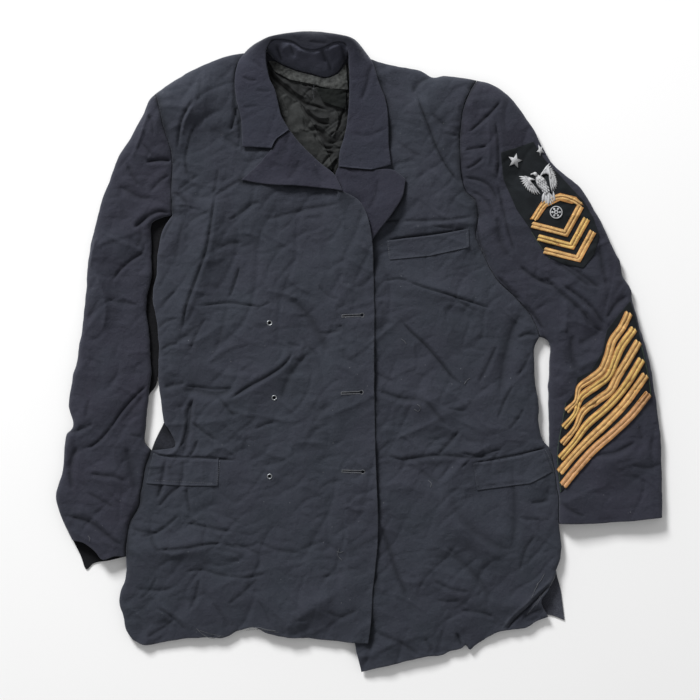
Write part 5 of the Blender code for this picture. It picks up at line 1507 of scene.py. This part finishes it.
def solid(name: str, places: Points, triangles: np.ndarray, finish: str, turn: float = 0.0,
          marks: dict[str, Heights] | None = None) -> bpy.types.Object:
    """Make a mesh object.

    Args:
        name: its name.
        places: its points, in millimetres.
        triangles: three point numbers for each face.
        finish: name of its finish.
        turn: direction of the cloth's grain, in degrees.
        marks: numbers that each point carries for the finish, by name.

    Returns:
        The object, at the origin.
    """
    mesh = bpy.data.meshes.new(name)
    mesh.vertices.add(len(places))
    mesh.vertices.foreach_set("co", (places * MM).astype(np.float32).ravel())
    mesh.loops.add(triangles.size)
    mesh.loops.foreach_set("vertex_index", triangles.astype(np.int32).ravel())
    mesh.polygons.add(len(triangles))
    mesh.polygons.foreach_set("loop_start", np.arange(0, triangles.size, 3, dtype=np.int32))
    mesh.update(calc_edges=True)
    mesh.validate()
    mesh.polygons.foreach_set("use_smooth", np.ones(len(mesh.polygons), bool))
    cos, sin = math.cos(math.radians(turn)), math.sin(math.radians(turn))
    grain = mesh.uv_layers.new(name="grain")
    corner = np.zeros(len(mesh.loops), np.int32)
    mesh.loops.foreach_get("vertex_index", corner)
    x, y = places[corner, 0] * MM, places[corner, 1] * MM
    turned = np.column_stack([x * cos + y * sin, y * cos - x * sin])
    grain.data.foreach_set("uv", turned.astype(np.float32).ravel())
    for mark, values in (marks or {}).items():
        mesh.attributes.new(mark, "FLOAT", "POINT").data.foreach_set("value", values.astype(np.float32))
    mesh.materials.append(FINISHES.get(finish))
    return put(name, mesh)


def fit(item: bpy.types.Object, slot: str, *nodes: str) -> bpy.types.Object:
    """Put a piece on the jacket.

    Args:
        item: the piece.
        slot: not used.
        nodes: the solids that it stands for.

    Returns:
        The piece.
    """
    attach(item, "root")
    if nodes:
        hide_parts(*nodes)
    LOG.info("%s: %d triangles", item.name, len(item.data.polygons))
    return item


class Threads:
    """Short raised threads laid along lines, grown with Geometry Nodes."""

    INPUTS = ("Spacing", "Length", "Width", "Height", "Slant", "Unevenness")
    tree: bpy.types.NodeTree | None = None

    def grow(self) -> bpy.types.NodeTree:
        """Build the tree once.

        Returns:
            A tree that turns the lines of a mesh into rows of threads.
        """
        if Threads.tree is not None:
            return Threads.tree
        tree = bpy.data.node_groups.new("thread_rows", "GeometryNodeTree")
        tree.interface.new_socket("Geometry", in_out="INPUT", socket_type="NodeSocketGeometry")
        for name in self.INPUTS:
            tree.interface.new_socket(name, in_out="INPUT", socket_type="NodeSocketFloat")
        tree.interface.new_socket("Finish", in_out="INPUT", socket_type="NodeSocketMaterial")
        tree.interface.new_socket("Geometry", in_out="OUTPUT", socket_type="NodeSocketGeometry")

        add = partial(add_node, tree)
        given = add("NodeGroupInput").outputs
        line = add("GeometryNodeMeshToCurve", inputs={"Mesh": given["Geometry"]})
        even = add("GeometryNodeResampleCurve", {"mode": "LENGTH"},
                   {"Curve": line.outputs["Curve"], "Length": given["Spacing"]})
        along = add("GeometryNodeInputTangent").outputs["Tangent"]
        flat = add("FunctionNodeAlignRotationToVector", {"axis": "X", "pivot_axis": "Z"}, {"Vector": along})
        laid = add("FunctionNodeAlignRotationToVector", {"axis": "X", "pivot_axis": "AUTO"},
                   {"Rotation": flat.outputs["Rotation"], "Vector": along})
        jitter = add("FunctionNodeRandomValue", {"data_type": "FLOAT"}, {2: -1.0, 3: 1.0, "Seed": 7})
        sway = add("ShaderNodeMath", {"operation": "MULTIPLY"},
                   {0: jitter.outputs[1], 1: given["Unevenness"]})
        slant = add("ShaderNodeMath", {"operation": "ADD"}, {0: given["Slant"], 1: sway.outputs[0]})
        spin = add("ShaderNodeCombineXYZ", inputs={"Z": slant.outputs[0]})
        turned = add("FunctionNodeRotateRotation", {"rotation_space": "LOCAL"}, {
            "Rotation": laid.outputs["Rotation"],
            "Rotate By": add("FunctionNodeEulerToRotation", inputs={"Euler": spin.outputs[0]}).outputs[0]})
        size = add("ShaderNodeCombineXYZ", inputs={
            "X": given["Length"], "Y": given["Width"], "Z": given["Height"]})
        ball = add("GeometryNodeMeshUVSphere", inputs={"Segments": 6, "Rings": 4, "Radius": 0.5})
        thread = add("GeometryNodeTransform", inputs={
            "Geometry": ball.outputs["Mesh"], "Scale": size.outputs[0]})
        rows = add("GeometryNodeInstanceOnPoints", inputs={
            "Points": even.outputs["Curve"], "Instance": thread.outputs["Geometry"],
            "Rotation": turned.outputs["Rotation"]})
        real = add("GeometryNodeRealizeInstances", inputs={"Geometry": rows.outputs["Instances"]})
        smooth = add("GeometryNodeSetShadeSmooth", inputs={"Geometry": real.outputs["Geometry"]})
        done = add("GeometryNodeSetMaterial", inputs={
            "Geometry": smooth.outputs["Geometry"], "Material": given["Finish"]})
        add("NodeGroupOutput", inputs={0: done.outputs["Geometry"]})
        Threads.tree = tree
        return tree

    def lay(self, name: str, lines: Sequence[Points], finish: str, spacing: float, length: float,
            width: float, height: float, slant: float = 0.0, unevenness: float = 0.06) -> bpy.types.Object:
        """Lay threads along lines.

        Args:
            name: the piece's name.
            lines: each line's points in space, in millimetres.
            finish: name of the finish.
            spacing: distance from thread to thread.
            length: a thread's length.
            width: its width.
            height: its height.
            slant: its turn from the line's direction, in degrees.
            unevenness: how far that turn varies, in radians.

        Returns:
            The threads as one plain mesh.
        """
        mesh = bpy.data.meshes.new(name + "_lines")
        verts, edges = [], []
        for line in lines:
            first = len(verts)
            verts += [tuple(p) for p in line * MM]
            edges += [(first + i, first + i + 1) for i in range(len(line) - 1)]
        mesh.from_pydata(verts, edges, [])
        item = put(name + "_lines", mesh)
        modifier = item.modifiers.new("threads", "NODES")
        modifier.node_group = self.grow()
        values = dict(zip(self.INPUTS, (spacing * MM, length * MM, width * MM, height * MM,
                                        math.radians(slant), unevenness)))
        values["Finish"] = FINISHES.get(finish)
        for socket in modifier.node_group.interface.items_tree:
            if socket.in_out == "INPUT" and socket.name in values:
                modifier[socket.identifier] = values[socket.name]
        bpy.context.view_layer.update()
        seen = item.evaluated_get(bpy.context.evaluated_depsgraph_get())
        plain = bpy.data.meshes.new_from_object(seen)
        bpy.data.objects.remove(item, do_unlink=True)
        plain.name = name
        if not plain.materials:
            plain.materials.append(FINISHES.get(finish))
        return put(name, plain)


THREADS = Threads()


def raised(line: Points, panel: str, lift: float) -> Points:
    """Lay a flat line on a panel's face, `lift` above it."""
    return np.column_stack([line, DRAPE.face(panel, line) + lift])


def offset(line: Points, far: float | Heights) -> Points:
    """Move an open line to its left."""
    along = np.gradient(line, axis=0)
    along /= np.linalg.norm(along, axis=1)[:, None]
    return line + far * np.stack([-along[:, 1], along[:, 0]], axis=1)


def circle(centre: Sequence[float], radius: float, sides: int) -> Points:
    """A closed round outline."""
    turn = np.arange(sides) * math.tau / sides
    return np.array(centre, float) + radius * np.column_stack([np.cos(turn), np.sin(turn)])


def keyhole(start: Points, end: Points, gap: float = 0.4, eye: float = 1.7) -> Points:
    """Draw a slit that ends in a round eye.

    Args:
        start: the slit's plain end.
        end: the middle of the eye.
        gap: half the slit's width.
        eye: the eye's radius.

    Returns:
        Points round the opening.
    """
    along = (end - start) / np.linalg.norm(end - start)
    side = np.array([-along[1], along[0]])
    slit = np.linspace(0.0, 1.0, 14)[:-1, None] * (end - start - eye * along)
    turn = np.radians(np.linspace(-165.0, 165.0, 11))[:, None]
    arc = end + eye * (np.cos(turn) * along + np.sin(turn) * side)
    return np.vstack([start + slit - gap * side, arc, (start + slit + gap * side)[::-1]])


def lengthened(line: Points, by: float) -> Points:
    """The line with both of its ends drawn out straight, by so many mm."""
    ends = [line[0] - line[3], line[-1] - line[-4]]
    first, last = (by * end / np.linalg.norm(end) for end in ends)
    return np.vstack([line[0] + first, line, line[-1] + last])


def squeezed(count: int, most: float) -> Heights:
    """Share of its breadth that a stripe keeps at each point, least where the sleeve's fold crosses it."""
    at = np.linspace(0.0, 1.0, count)
    return 1.0 - most * np.exp(-((at - 0.13) / 0.15) ** 2)


def band(line: Points, width: float | Heights) -> Points:
    """A closed outline of even width round an open line."""
    return np.vstack([offset(line, -width / 2), offset(line, width / 2)[::-1]])


def tube(line: Points, radii: Heights | float, sides: int = 6, flat: float = 1.0, ring: bool = False) -> Part:
    """Make a round or flattened body along a line in space.

    Args:
        line: its middle line.
        radii: half its width, the same all along or one for each point.
        sides: number of sides.
        flat: its height as a share of its width.
        ring: joined end to end, where true.

    Returns:
        Its points and triangles.
    """
    along = np.roll(line, -1, axis=0) - np.roll(line, 1, axis=0) if ring else np.gradient(line, axis=0)
    along /= np.linalg.norm(along, axis=1)[:, None]
    across = np.column_stack([-along[:, 1], along[:, 0], np.zeros(len(line))])
    across /= np.linalg.norm(across, axis=1)[:, None]
    up = np.cross(along, across)
    turn = (np.arange(sides) * math.tau / sides)[None, :, None]
    radius = np.broadcast_to(radii, len(line))[:, None, None]
    points = line[:, None] + radius * (np.cos(turn) * across[:, None] + flat * np.sin(turn) * up[:, None])
    spans = len(line) if ring else len(line) - 1
    here = np.arange(len(line) * sides).reshape(-1, sides)
    beside, ahead = np.roll(here, -1, axis=1), np.roll(here, -1, axis=0)
    corner = np.roll(beside, -1, axis=0)
    faces = [np.stack([part[:spans].ravel() for part in side], axis=1)
             for side in ((here, beside, ahead), (beside, corner, ahead))]
    if not ring:
        first, last = here[0], here[-1]
        faces.append(np.array([(first[0], first[i + 1], first[i]) for i in range(1, sides - 1)]))
        faces.append(np.array([(last[0], last[i], last[i + 1]) for i in range(1, sides - 1)]))
    return points.reshape(-1, 3), np.vstack(faces)


def leaf(start: Points, end: Points, width: float, height: float, arch: float = 0.0) -> Part:
    """A pointed stitch from one place in space to another, widest near its end."""
    share = np.linspace(0.02, 0.98, 7)
    line = start + share[:, None] * (end - start)
    line[:, 2] += arch * np.sin(math.pi * share)
    return tube(line, 0.5 * width * np.sin(math.pi * share ** 1.3) ** 0.7 + 0.05, 6, height / width)


def gather(parts: Sequence[Part]) -> Part:
    """Put parts together as one list of points and one of triangles."""
    first = np.cumsum([0] + [len(points) for points, _ in parts[:-1]])
    return (np.vstack([points for points, _ in parts]),
            np.vstack([faces + start for start, (_, faces) in zip(first, parts)]))


def stitches(name: str, panel: str, lines: Sequence[Sequence[float]], finish: str, slot: str,
             spacing: float = 2.6, length: float = 1.7, width: float = 0.55, slant: float = 0.0,
             lift: float = 0.1) -> bpy.types.Object:
    """Sew rows of stitches through a panel.

    Args:
        name: the piece's name.
        panel: the panel whose face they lie on.
        lines: each row's points on the squared plan.
        finish: name of the thread's finish.
        slot: the material slot.
        spacing: distance from stitch to stitch.
        length: a stitch's length.
        width: a stitch's width.
        slant: its turn from the row, in degrees.
        lift: how far above the face the stitches lie.

    Returns:
        The stitches.
    """
    rows = [raised(curve(plan(line), 2.0), panel, lift) for line in lines]
    return fit(THREADS.lay(name, rows, finish, spacing, length, width, 0.9 * width, slant, 0.15), slot)


@dataclass(frozen=True)
class Patch:
    """A thin piece of cloth sewn flat on a panel."""

    node: str
    panel: str
    loop: Points
    finish: str
    slot: str
    lift: float = 0.1
    thickness: float = 1.0
    step: float = 2.2
    turn: float = 0.0

    def build(self) -> bpy.types.Object:
        """Make the piece in place of its solid."""
        shell = Shell(self.node + "_cloth", self.loop, self.thickness,
                      lambda points: DRAPE.face(self.panel, points) + self.lift, self.step, self.turn)
        return fit(shell.build(self.finish), self.slot, self.node)


@dataclass(frozen=True)
class Lace:
    """One band of gold lace: two ribbed rows beside a dark centre line."""

    node: str
    panel: str
    loop: Points
    line: Points
    finish: str
    row: float = 5.3
    apart: float = 4.85
    lift: float = 1.4
    ground: float = 1.1
    rib: float = 0.9
    slant: float = 66.0
    squeeze: float = 0.0

    def build(self) -> list[bpy.types.Object]:
        """Make the ground in place of the band's solid, and the rows and the centre line on it.

        Returns:
            All three pieces.
        """
        shell = Shell(self.node + "_ground", self.loop, self.ground,
                      lambda points: DRAPE.face(self.panel, points) + self.lift, 2.4)
        base = fit(shell.build("braid"), "gold_lace", self.node)
        share = squeezed(len(self.line), self.squeeze)[:, None]
        lift = self.lift + 0.8 * self.ground
        rows = [raised(offset(self.line, side * self.apart / 2 * share), self.panel, lift)
                for side in (-1, 1)]
        cut = round(0.34 * len(self.line)) if self.squeeze > 0.2 else 0
        parts = {"near": ([row[:cut + 1] for row in rows], self.row * (1.0 - 0.8 * self.squeeze)),
                 "far": ([row[cut:] for row in rows], self.row)}
        ribs = []
        for part, (lines, length) in parts.items():
            if len(lines[0]) > 2:
                made = THREADS.lay(f"{self.node}_{part}_rows", lines, self.finish, self.rib, length,
                                   1.3 * self.rib, 1.5, self.slant, 0.12)
                ribs.append(fit(made, "gold_lace"))
        middle = tube(raised(resample(self.line, 2.0), self.panel, self.lift + self.ground), 0.42, 5, 0.8)
        return [base, *ribs, fit(solid(self.node + "_middle", *middle, "centre"), "gold_lace")]


@dataclass(frozen=True)
class Cut:
    """One wool panel: its grain, its cut size and what it lies on."""

    panel: str
    turn: float
    flat: tuple[float, float]
    share: float
    rests_on: tuple[str, ...]
    step: float = 2.3
    finish: str = "serge"


@dataclass
class Panels:
    """The wool panels of the jacket."""

    thickness: float = 2.2
    back_thickness: float = 1.5
    edge_step: float = 3.0
    tuck: float = 1.2
    fold_margin: float = 0.6
    cuts: tuple[Cut, ...] = (
        Cut("back", 88.0, (0.58, 0.78), 0.78, ("floor",), 5.0, "back"),
        Cut("right_sleeve_under", 82.0, (0.125, 0.626), 0.68, ("floor",), 5.0, "under"),
        Cut("left_sleeve_under", 118.0, (0.174, 0.612), 0.72, ("floor",), 5.0, "sleeve"),
        Cut("right_sleeve_top", 84.0, (0.115, 0.609), 0.70, ("right_sleeve_under_cloth",), finish="sleeve"),
        Cut("left_sleeve_top", 116.0, (0.174, 0.612), 0.72, ("left_sleeve_under_cloth",), finish="sleeve"),
        Cut("left_front", 92.0, (0.279, 0.809), 0.75, ("back_cloth",)),
        Cut("left_lapel", 60.0, (0.091, 0.123), 0.62, ("left_front_cloth",), 2.0, "lapel"),
        Cut("right_front", 89.0, (0.330, 0.783), 0.77, ("back_cloth", "left_front_cloth"), 2.4),
        Cut("right_lapel", 140.0, (0.073, 0.133), 0.51, ("right_front_cloth",), 2.0, "lapel"),
        Cut("collar_stand", 0.0, (0.042, 0.106), 0.66, ("back_cloth",), 2.0, "stand"),
        Cut("collar_fall", 95.0, (0.187, 0.195), 0.44, ("left_front_cloth", "right_front_cloth"), 2.0,
            "collar"),
    )

    def holes(self, panel: str) -> list[Points]:
        """Openings worked through a panel."""
        if panel != "right_front":
            return []
        eyes = [circle(centre, 1.6, 12) for centre in EYELETS]
        return eyes + [keyhole(np.array(start, float), np.array(end, float)) for start, end in BUTTONHOLES]

    def build(self) -> None:
        """Make every panel."""
        for cut in self.cuts:
            lower = cut.rests_on == ("floor",)
            loop = outline(cut.panel, self.edge_step)
            if cut.panel == "collar_stand":
                at_fold = distance(loop, DRAPE.line("back_fold")) < self.fold_margin
                loop = np.where(at_fold[:, None], inset(loop, -self.tuck), loop)
            shell = Shell(cut.panel + "_cloth", loop, self.back_thickness if lower else self.thickness,
                          partial(DRAPE.low, cut.panel), cut.step, cut.turn,
                          DRAPE.creases.get(cut.panel, ()), self.holes(cut.panel),
                          # Painted shade along seams and edges; lighter marks: wear, with painted light on
                          # the back
                          shade=partial(DRAPE.painted_edge_shade, cut.panel),
                          wear=partial(DRAPE.rubbed_and_painted_light, cut.panel) if cut.panel in RUBBED_AND_PAINTED_LIGHT else None)
            fit(shell.build(cut.finish), "wool", cut.panel)
        for cut in self.cuts:
            list(cut.rests_on)


@dataclass
class NeckInside:
    """The lining, the front's lining strip, the neck tape and the label."""

    smooth: tuple[tuple[float, float], ...] = ((30.0, 0.9), (11.0, 0.25))
    rough: tuple[tuple[float, float], ...] = ((14.0, 0.9), (5.0, 0.9), (3.0, 0.5))

    def over(self, points: Points, sizes: tuple[tuple[float, float], ...]) -> Heights:
        """Underside of a piece on the lining, with its own unevenness."""
        rise = sum(amount * (1.0 + crumple(points, size, 3.0 + size)) for size, amount in sizes)
        return DRAPE.lining(points) + 1.1 + rise

    def build(self) -> None:
        """Make the pieces."""
        under = Shell("neck_lining_cloth", polygon(SHAPES["neck_lining"], 2.0), 0.9, DRAPE.lining, 1.4, 75.0,
                      DRAPE.creases["neck_lining"])
        strip = Shell("front_lining_cloth", polygon(SHAPES["front_lining"], 2.0), 0.9,
                      lambda points: self.over(points, self.smooth), 1.5, 55.0)
        tape = Shell("neck_tape_cloth", polygon(NECK_TAPE, 2.0), 0.8,
                     lambda points: self.over(points, self.rough), 1.1, 0.0)
        label = Shell("neck_label_cloth", polygon(SHAPES["neck_label"], 2.0), 0.6,
                      lambda points: self.over(points, self.rough) + 1.0, 1.5, 0.0)
        lining = fit(under.build("lining"), "lining", "neck_lining")
        facing = fit(strip.build("facing"), "lining", "front_lining")
        band_piece = fit(tape.build("tape"), "lining")
        label_piece = fit(label.build("label"), "label", "neck_label")
        row = curve(plan((314, 86, 313, 93, 314, 99)), 1.0)
        row = np.column_stack([row, self.over(row, self.rough) + 1.7])
        seam = fit(THREADS.lay("label_stitches", [row], "grey", 1.5, 1.1, 0.5, 0.4, 20.0, 0.2), "label")


@dataclass
class Pockets:
    """The three pocket welts with their stitched ends."""

    welts: tuple[tuple[str, str, float, tuple[float, float], float], ...] = (
        ("breast_welt", "left_front", 12.0, (0.028, 0.107), 0.90),
        ("right_pocket_welt", "right_front", 0.0, (0.039, 0.085), 0.89),
        ("left_pocket_welt", "left_front", 10.0, (0.040, 0.101), 0.88),
    )
    seams: dict[str, Rows] = field(default_factory=lambda: {
        "breast_welt": ((388.5, 242, 388.5, 250, 389, 258), (466, 232, 466.5, 240, 467, 247)),
        "right_pocket_welt": ((220, 461, 219, 472, 217.5, 483), (156, 480, 185, 481.5, 214, 483)),
        "left_pocket_welt": ((475, 465, 475.5, 472, 477, 481, 478.5, 488), (545, 450, 550, 460, 554, 471)),
    })

    def build(self) -> None:
        """Make the welts and sew them down."""
        for node, panel, turn, flat, share in self.welts:
            loop = polygon(SHAPES[node], 2.5)
            welt = Patch(node, panel, loop, "serge", "wool", turn=turn, thickness=1.1).build()
            rows = stitches(node + "_stitches", panel, self.seams[node], "grey", "wool", lift=1.1)


@dataclass
class ArmBadge:
    """The rating badge: its ground, chevrons, arc, bird, stars and round device."""

    panel: str = "left_sleeve_top"
    lift: float = 1.4
    rows: float = 4.7
    rims: Rows = (
        (526, 221, 532, 232, 539, 244, 547, 256), (531, 233, 540, 247, 549, 259))

    def place(self, points: Sequence, lift: float) -> Points:
        """Points in space, above the badge's ground."""
        return raised(np.array(points, float).reshape(-1, 2), self.panel, self.lift + lift)

    def stroke(self, start: Sequence, end: Sequence, low: float, high: float, width: float, height: float,
               arch: float = 0.0) -> Part:
        """A pointed stitch from one place, `low` above the ground, to another, `high` above it."""
        return leaf(self.place(start, low)[0], self.place(end, high)[0], width, height, arch)

    def fan(self, bases: Sequence, tips: Sequence, count: int, reach: float, width: float,
            lift: float) -> list[Part]:
        """Lay a fan of feathers.

        Args:
            bases: line that they start on.
            tips: line that they end on.
            count: how many.
            reach: share of the way to the tips.
            width: a feather's width.
            lift: height above the ground.

        Returns:
            One part for each feather.
        """
        start = curve(np.array(bases, float), 0.5)
        end = curve(np.array(tips, float), 0.5)
        parts = []
        for share in np.linspace(0.0, 1.0, count):
            base = start[round(share * (len(start) - 1))]
            tip = base + reach * (end[round(share * (len(end) - 1))] - base)
            parts.append(self.stroke(base, tip, lift, lift, width, 1.3, 0.5))
        return parts

    def bird(self) -> Part:
        """The bird: three rows of feathers on each wing, a tail, legs, a scaled body and a head."""
        parts = []
        for bases, tips, count in ((*LEFT_WING, 12), (*RIGHT_WING, 14)):
            parts += self.fan(bases, tips, count, 1.0, 3.0, 0.9)
            parts += self.fan(bases, tips, count - 3, 0.78, 2.6, 1.6)
            parts += self.fan(bases, tips, count - 5, 0.5, 2.8, 2.4)
        parts += self.fan(*TAIL, 7, 1.0, 2.6, 1.1)
        parts += [self.stroke(start, end, 2.0, 1.6, 3.4, 2.4) for start, end in LEGS]
        parts.append(self.stroke(BODY[1], BODY[0], 1.6, 1.6, 13.0, 3.6, 0.6))
        for row, share in enumerate(np.linspace(0.15, 0.8, 7)):
            middle = np.array(BODY[1]) + share * (np.array(BODY[0]) - np.array(BODY[1]))
            for side in (-4.2, -1.4, 1.4, 4.2) if row % 2 else (-2.8, 0.0, 2.8):
                spot = middle + side * np.array((0.84, 0.55))
                parts.append(self.stroke(spot + (-1.2, 1.8), spot + (1.2, -1.8), 3.3, 3.0, 2.0, 1.0))
        parts.append(self.stroke(*HEAD, 2.2, 2.2, 5.2, 3.6, 0.4))
        parts.append(self.stroke(*BEAK, 2.2, 1.4, 2.2, 1.8))
        return gather(parts)

    def star(self, x: float, y: float, reach: float, turn: float, squash: float) -> Part:
        """Raise a five-pointed star with creased points.

        Args:
            x: its middle.
            y: its middle.
            reach: middle to tip.
            turn: direction of one point, in degrees from straight up.
            squash: its breadth as a share of its length.

        Returns:
            Its points and triangles.
        """
        angles = math.radians(90.0 - turn) + np.arange(10) * math.tau / 10
        radii = np.where(np.arange(10) % 2 == 0, reach, 0.42 * reach)
        rim = np.column_stack([x + squash * radii * np.cos(angles), y + radii * np.sin(angles)])
        top, low = self.place(rim, 0.6), self.place(rim, 0.0)
        middle = self.place([(x, y)], 2.6), self.place([(x, y)], 0.0)
        faces = []
        for i in range(10):
            k = (i + 1) % 10
            faces += [(i, k, 20), (10 + k, 10 + i, 21), (10 + i, 10 + k, i), (10 + k, k, i)]
        return np.vstack([top, low, *middle]), np.array(faces)

    def rosette(self) -> Part:
        """A ring round six petals and a boss, which stands for the trade device."""
        parts = [tube(self.place(circle(ROSETTE, 7.6, 40), 0.9), 0.75, 6, ring=True),
                 tube(self.place(circle(ROSETTE, 2.0, 14), 1.0), 0.9, 6, ring=True)]
        inner, outer = circle(ROSETTE, 2.6, 6), circle(ROSETTE, 6.6, 6)
        parts += [self.stroke(start, end, 0.8, 0.8, 3.0, 1.5) for start, end in zip(inner, outer)]
        return gather(parts)

    def build(self) -> None:
        """Make the badge."""
        rim = polygon(SHAPES["rating_badge"], 3.0)
        ground = Patch("rating_badge", self.panel, rim, "badge", "badge_cloth", thickness=1.2).build()
        pieces = Lace("badge_arc", self.panel, polygon(BADGE_ARC, 2.0), curve(np.array(ARC_LINE, float), 0.8),
                      "peach", 3.7, 3.6, self.lift).build()
        for index, finish in enumerate(("peach", "yellow", "peach")):
            step = index * np.array(CHEVRON_STEP)
            line = resample(np.array(CHEVRON_LINE) + step, 0.8)
            pieces += Lace(f"chevron_{index + 1}", self.panel, polygon(np.array(CHEVRON) + step, 2.0), line,
                           finish, self.rows, 4.3, self.lift).build()
        bird = solid("badge_bird_stitches", *self.bird(), "silver")
        pieces.append(fit(bird, "silver_thread", "badge_bird"))
        for index, row in enumerate(STARS):
            star = solid(f"badge_star_{index + 1}", *self.star(*row), "silver")
            pieces.append(fit(star, "silver_thread"))
        pieces.append(fit(solid("badge_rosette", *self.rosette(), "silver"), "silver_thread"))
        pieces.append(stitches("badge_edge_stitches", self.panel, self.rims, "green", "badge_cloth",
                               1.3, 1.3, 0.6, 25.0, 0.6))


@dataclass
class ServiceStripes:
    """The slanted service stripes on the left forearm, on one dark ground."""

    panel: str = "left_sleeve_top"
    finishes: tuple[str, ...] = ("peach", "yellow", "peach", "yellow", "peach", "rose")
    rims: Rows = (
        (565, 403, 561, 425, 557, 452, 559, 480, 560, 491), (640, 344, 644, 362, 648, 380, 650, 395))

    def build(self) -> None:
        """Make the ground, the stripes and the edge stitching."""
        rim = polygon(SHAPES["stripe_ground"], 3.0)
        ground = Patch("stripe_ground", self.panel, rim, "badge", "badge_cloth", thickness=1.2).build()
        pieces = []
        for index, (points, finish) in enumerate(zip(STRIPES, self.finishes)):
            line = lengthened(curve(np.array(points, float), 1.0), 3.0)
            tight = STRIPE_SQUEEZE[index]
            loop = band(line, STRIPE_WIDTH * squeezed(len(line), tight)[:, None])
            name = f"service_stripe_{index + 1}"
            pieces += Lace(name, self.panel, loop, line, finish, squeeze=tight).build()
        pieces.append(stitches("stripe_edge_stitches", self.panel, self.rims, "green", "badge_cloth",
                               1.5, 1.6, 0.7, 60.0, 1.3))


@dataclass
class Fastenings:
    """The eyelets and the keyhole buttonholes of the right front, and loose ends of thread."""

    panel: str = "right_front"
    ring_radius: float = 2.9
    ring_width: float = 0.62
    frays: dict[str, Rows] = field(default_factory=lambda: {
        "left_front": ((556, 571, 551, 583, 543, 593, 536, 604), (541, 594, 533, 606, 527, 614)),
        "right_front": ((200, 630, 212, 634, 224, 636), (247, 630, 262, 629, 278, 632)),
    })
    ends: tuple[tuple[str, tuple[float, ...]], ...] = (
        ("left_front", (417, 404, 420, 407, 418, 411, 414, 409)),
        ("left_front", (428, 480, 431, 483, 430, 487)),
        ("left_front", (401, 339, 404, 341, 406, 344)), ("right_sleeve_top", (89, 535, 91, 538, 90, 541)),
        ("right_front", (337, 551, 340, 552, 343, 551)), ("right_front", (339, 548, 338, 555, 342, 560)),
        ("right_front", (197, 628, 203, 634, 212, 638, 220, 636)),
        ("right_front", (249, 628, 258, 627, 267, 629, 276, 630)),
        ("left_front", (538, 582, 534, 590, 531, 597)), ("left_front", (544, 573, 540, 580, 536, 584)),
        ("left_front", (470, 378, 467, 380, 464, 384)))

    def build(self) -> None:
        """Make them."""
        for index, centre in enumerate(EYELETS):
            ring = raised(circle(centre, self.ring_radius, 28), self.panel, 0.2)
            fit(solid(f"eyelet_{index + 1}_ring", *tube(ring, self.ring_width, 8, 0.7, True), "eyelet"),
                "eyelet_metal", f"eyelet_{index + 1}")
        rows = []
        for start, end in BUTTONHOLES:
            loop = inset(keyhole(np.array(start, float), np.array(end, float)), -1.0)
            rows.append(raised(resample(closed(loop), 0.8), self.panel, -0.1))
        fit(THREADS.lay("buttonhole_stitches", rows, "grey", 0.75, 1.9, 0.62, 0.8, 84.0, 0.18), "wool")
        for panel, lines in self.frays.items():
            stitches(panel + "_fray", panel, lines, "grey", "wool", 1.1, 2.4, 0.3, 40.0, 0.15)
        for index, (panel, numbers) in enumerate(self.ends):
            line = curve(plan(numbers), 0.7)
            fit(solid(f"thread_end_{index + 1}", *tube(raised(line, panel, 0.35), 0.28, 5), "grey"), "wool")


@dataclass
class Stage:
    """Floor, lights and camera."""

    floor_size: float = 6.0
    floor_level: float = -0.0003
    camera_height: float = 2.534
    camera_place: tuple[float, float] = (-0.0117, 0.00195)
    lens: float = 100.0
    key_power: float = 335.0
    key_size: float = 1.4
    key_place: tuple[float, float, float] = (-2.1, 3.95, 2.7)
    sky: float = 0.40

    def build(self) -> None:
        """Set them up."""
        half = self.floor_size / 2
        mesh = bpy.data.meshes.new("floor")
        corners = [(x * half, y * half, self.floor_level) for x, y in ((-1, -1), (1, -1), (1, 1), (-1, 1))]
        mesh.from_pydata(corners, [], [(0, 1, 2, 3)])
        mesh.materials.append(Floor().make())
        floor = put("floor", mesh)
        camera = put("camera", bpy.data.cameras.new("camera"))
        camera.data.lens, camera.data.sensor_width = self.lens, 36.0
        camera.location = (*self.camera_place, self.camera_height)
        bpy.context.scene.camera = camera
        light = put("key", bpy.data.lights.new("key", "AREA"))
        light.data.energy, light.data.size = self.key_power, self.key_size
        light.location = self.key_place
        light.rotation_mode = "QUATERNION"
        light.rotation_quaternion = Vector(self.key_place).to_track_quat("Z", "Y")
        world = bpy.data.worlds.new("studio")
        world.use_nodes = True
        back = world.node_tree.nodes["Background"]
        back.inputs["Color"].default_value = (1.0, 1.0, 1.0, 1.0)
        back.inputs["Strength"].default_value = self.sky
        bpy.context.scene.world = world
        bpy.context.scene.view_settings.view_transform = "Standard"


def main() -> None:
    """Build the jacket and its stage."""
    logging.basicConfig(level=logging.INFO, format="%(message)s")
    Stage().build()
    Panels().build()
    for part in (NeckInside(), Pockets(), ArmBadge(), ServiceStripes(), Fastenings()):
        part.build()


if __name__ == "__main__":
    main()
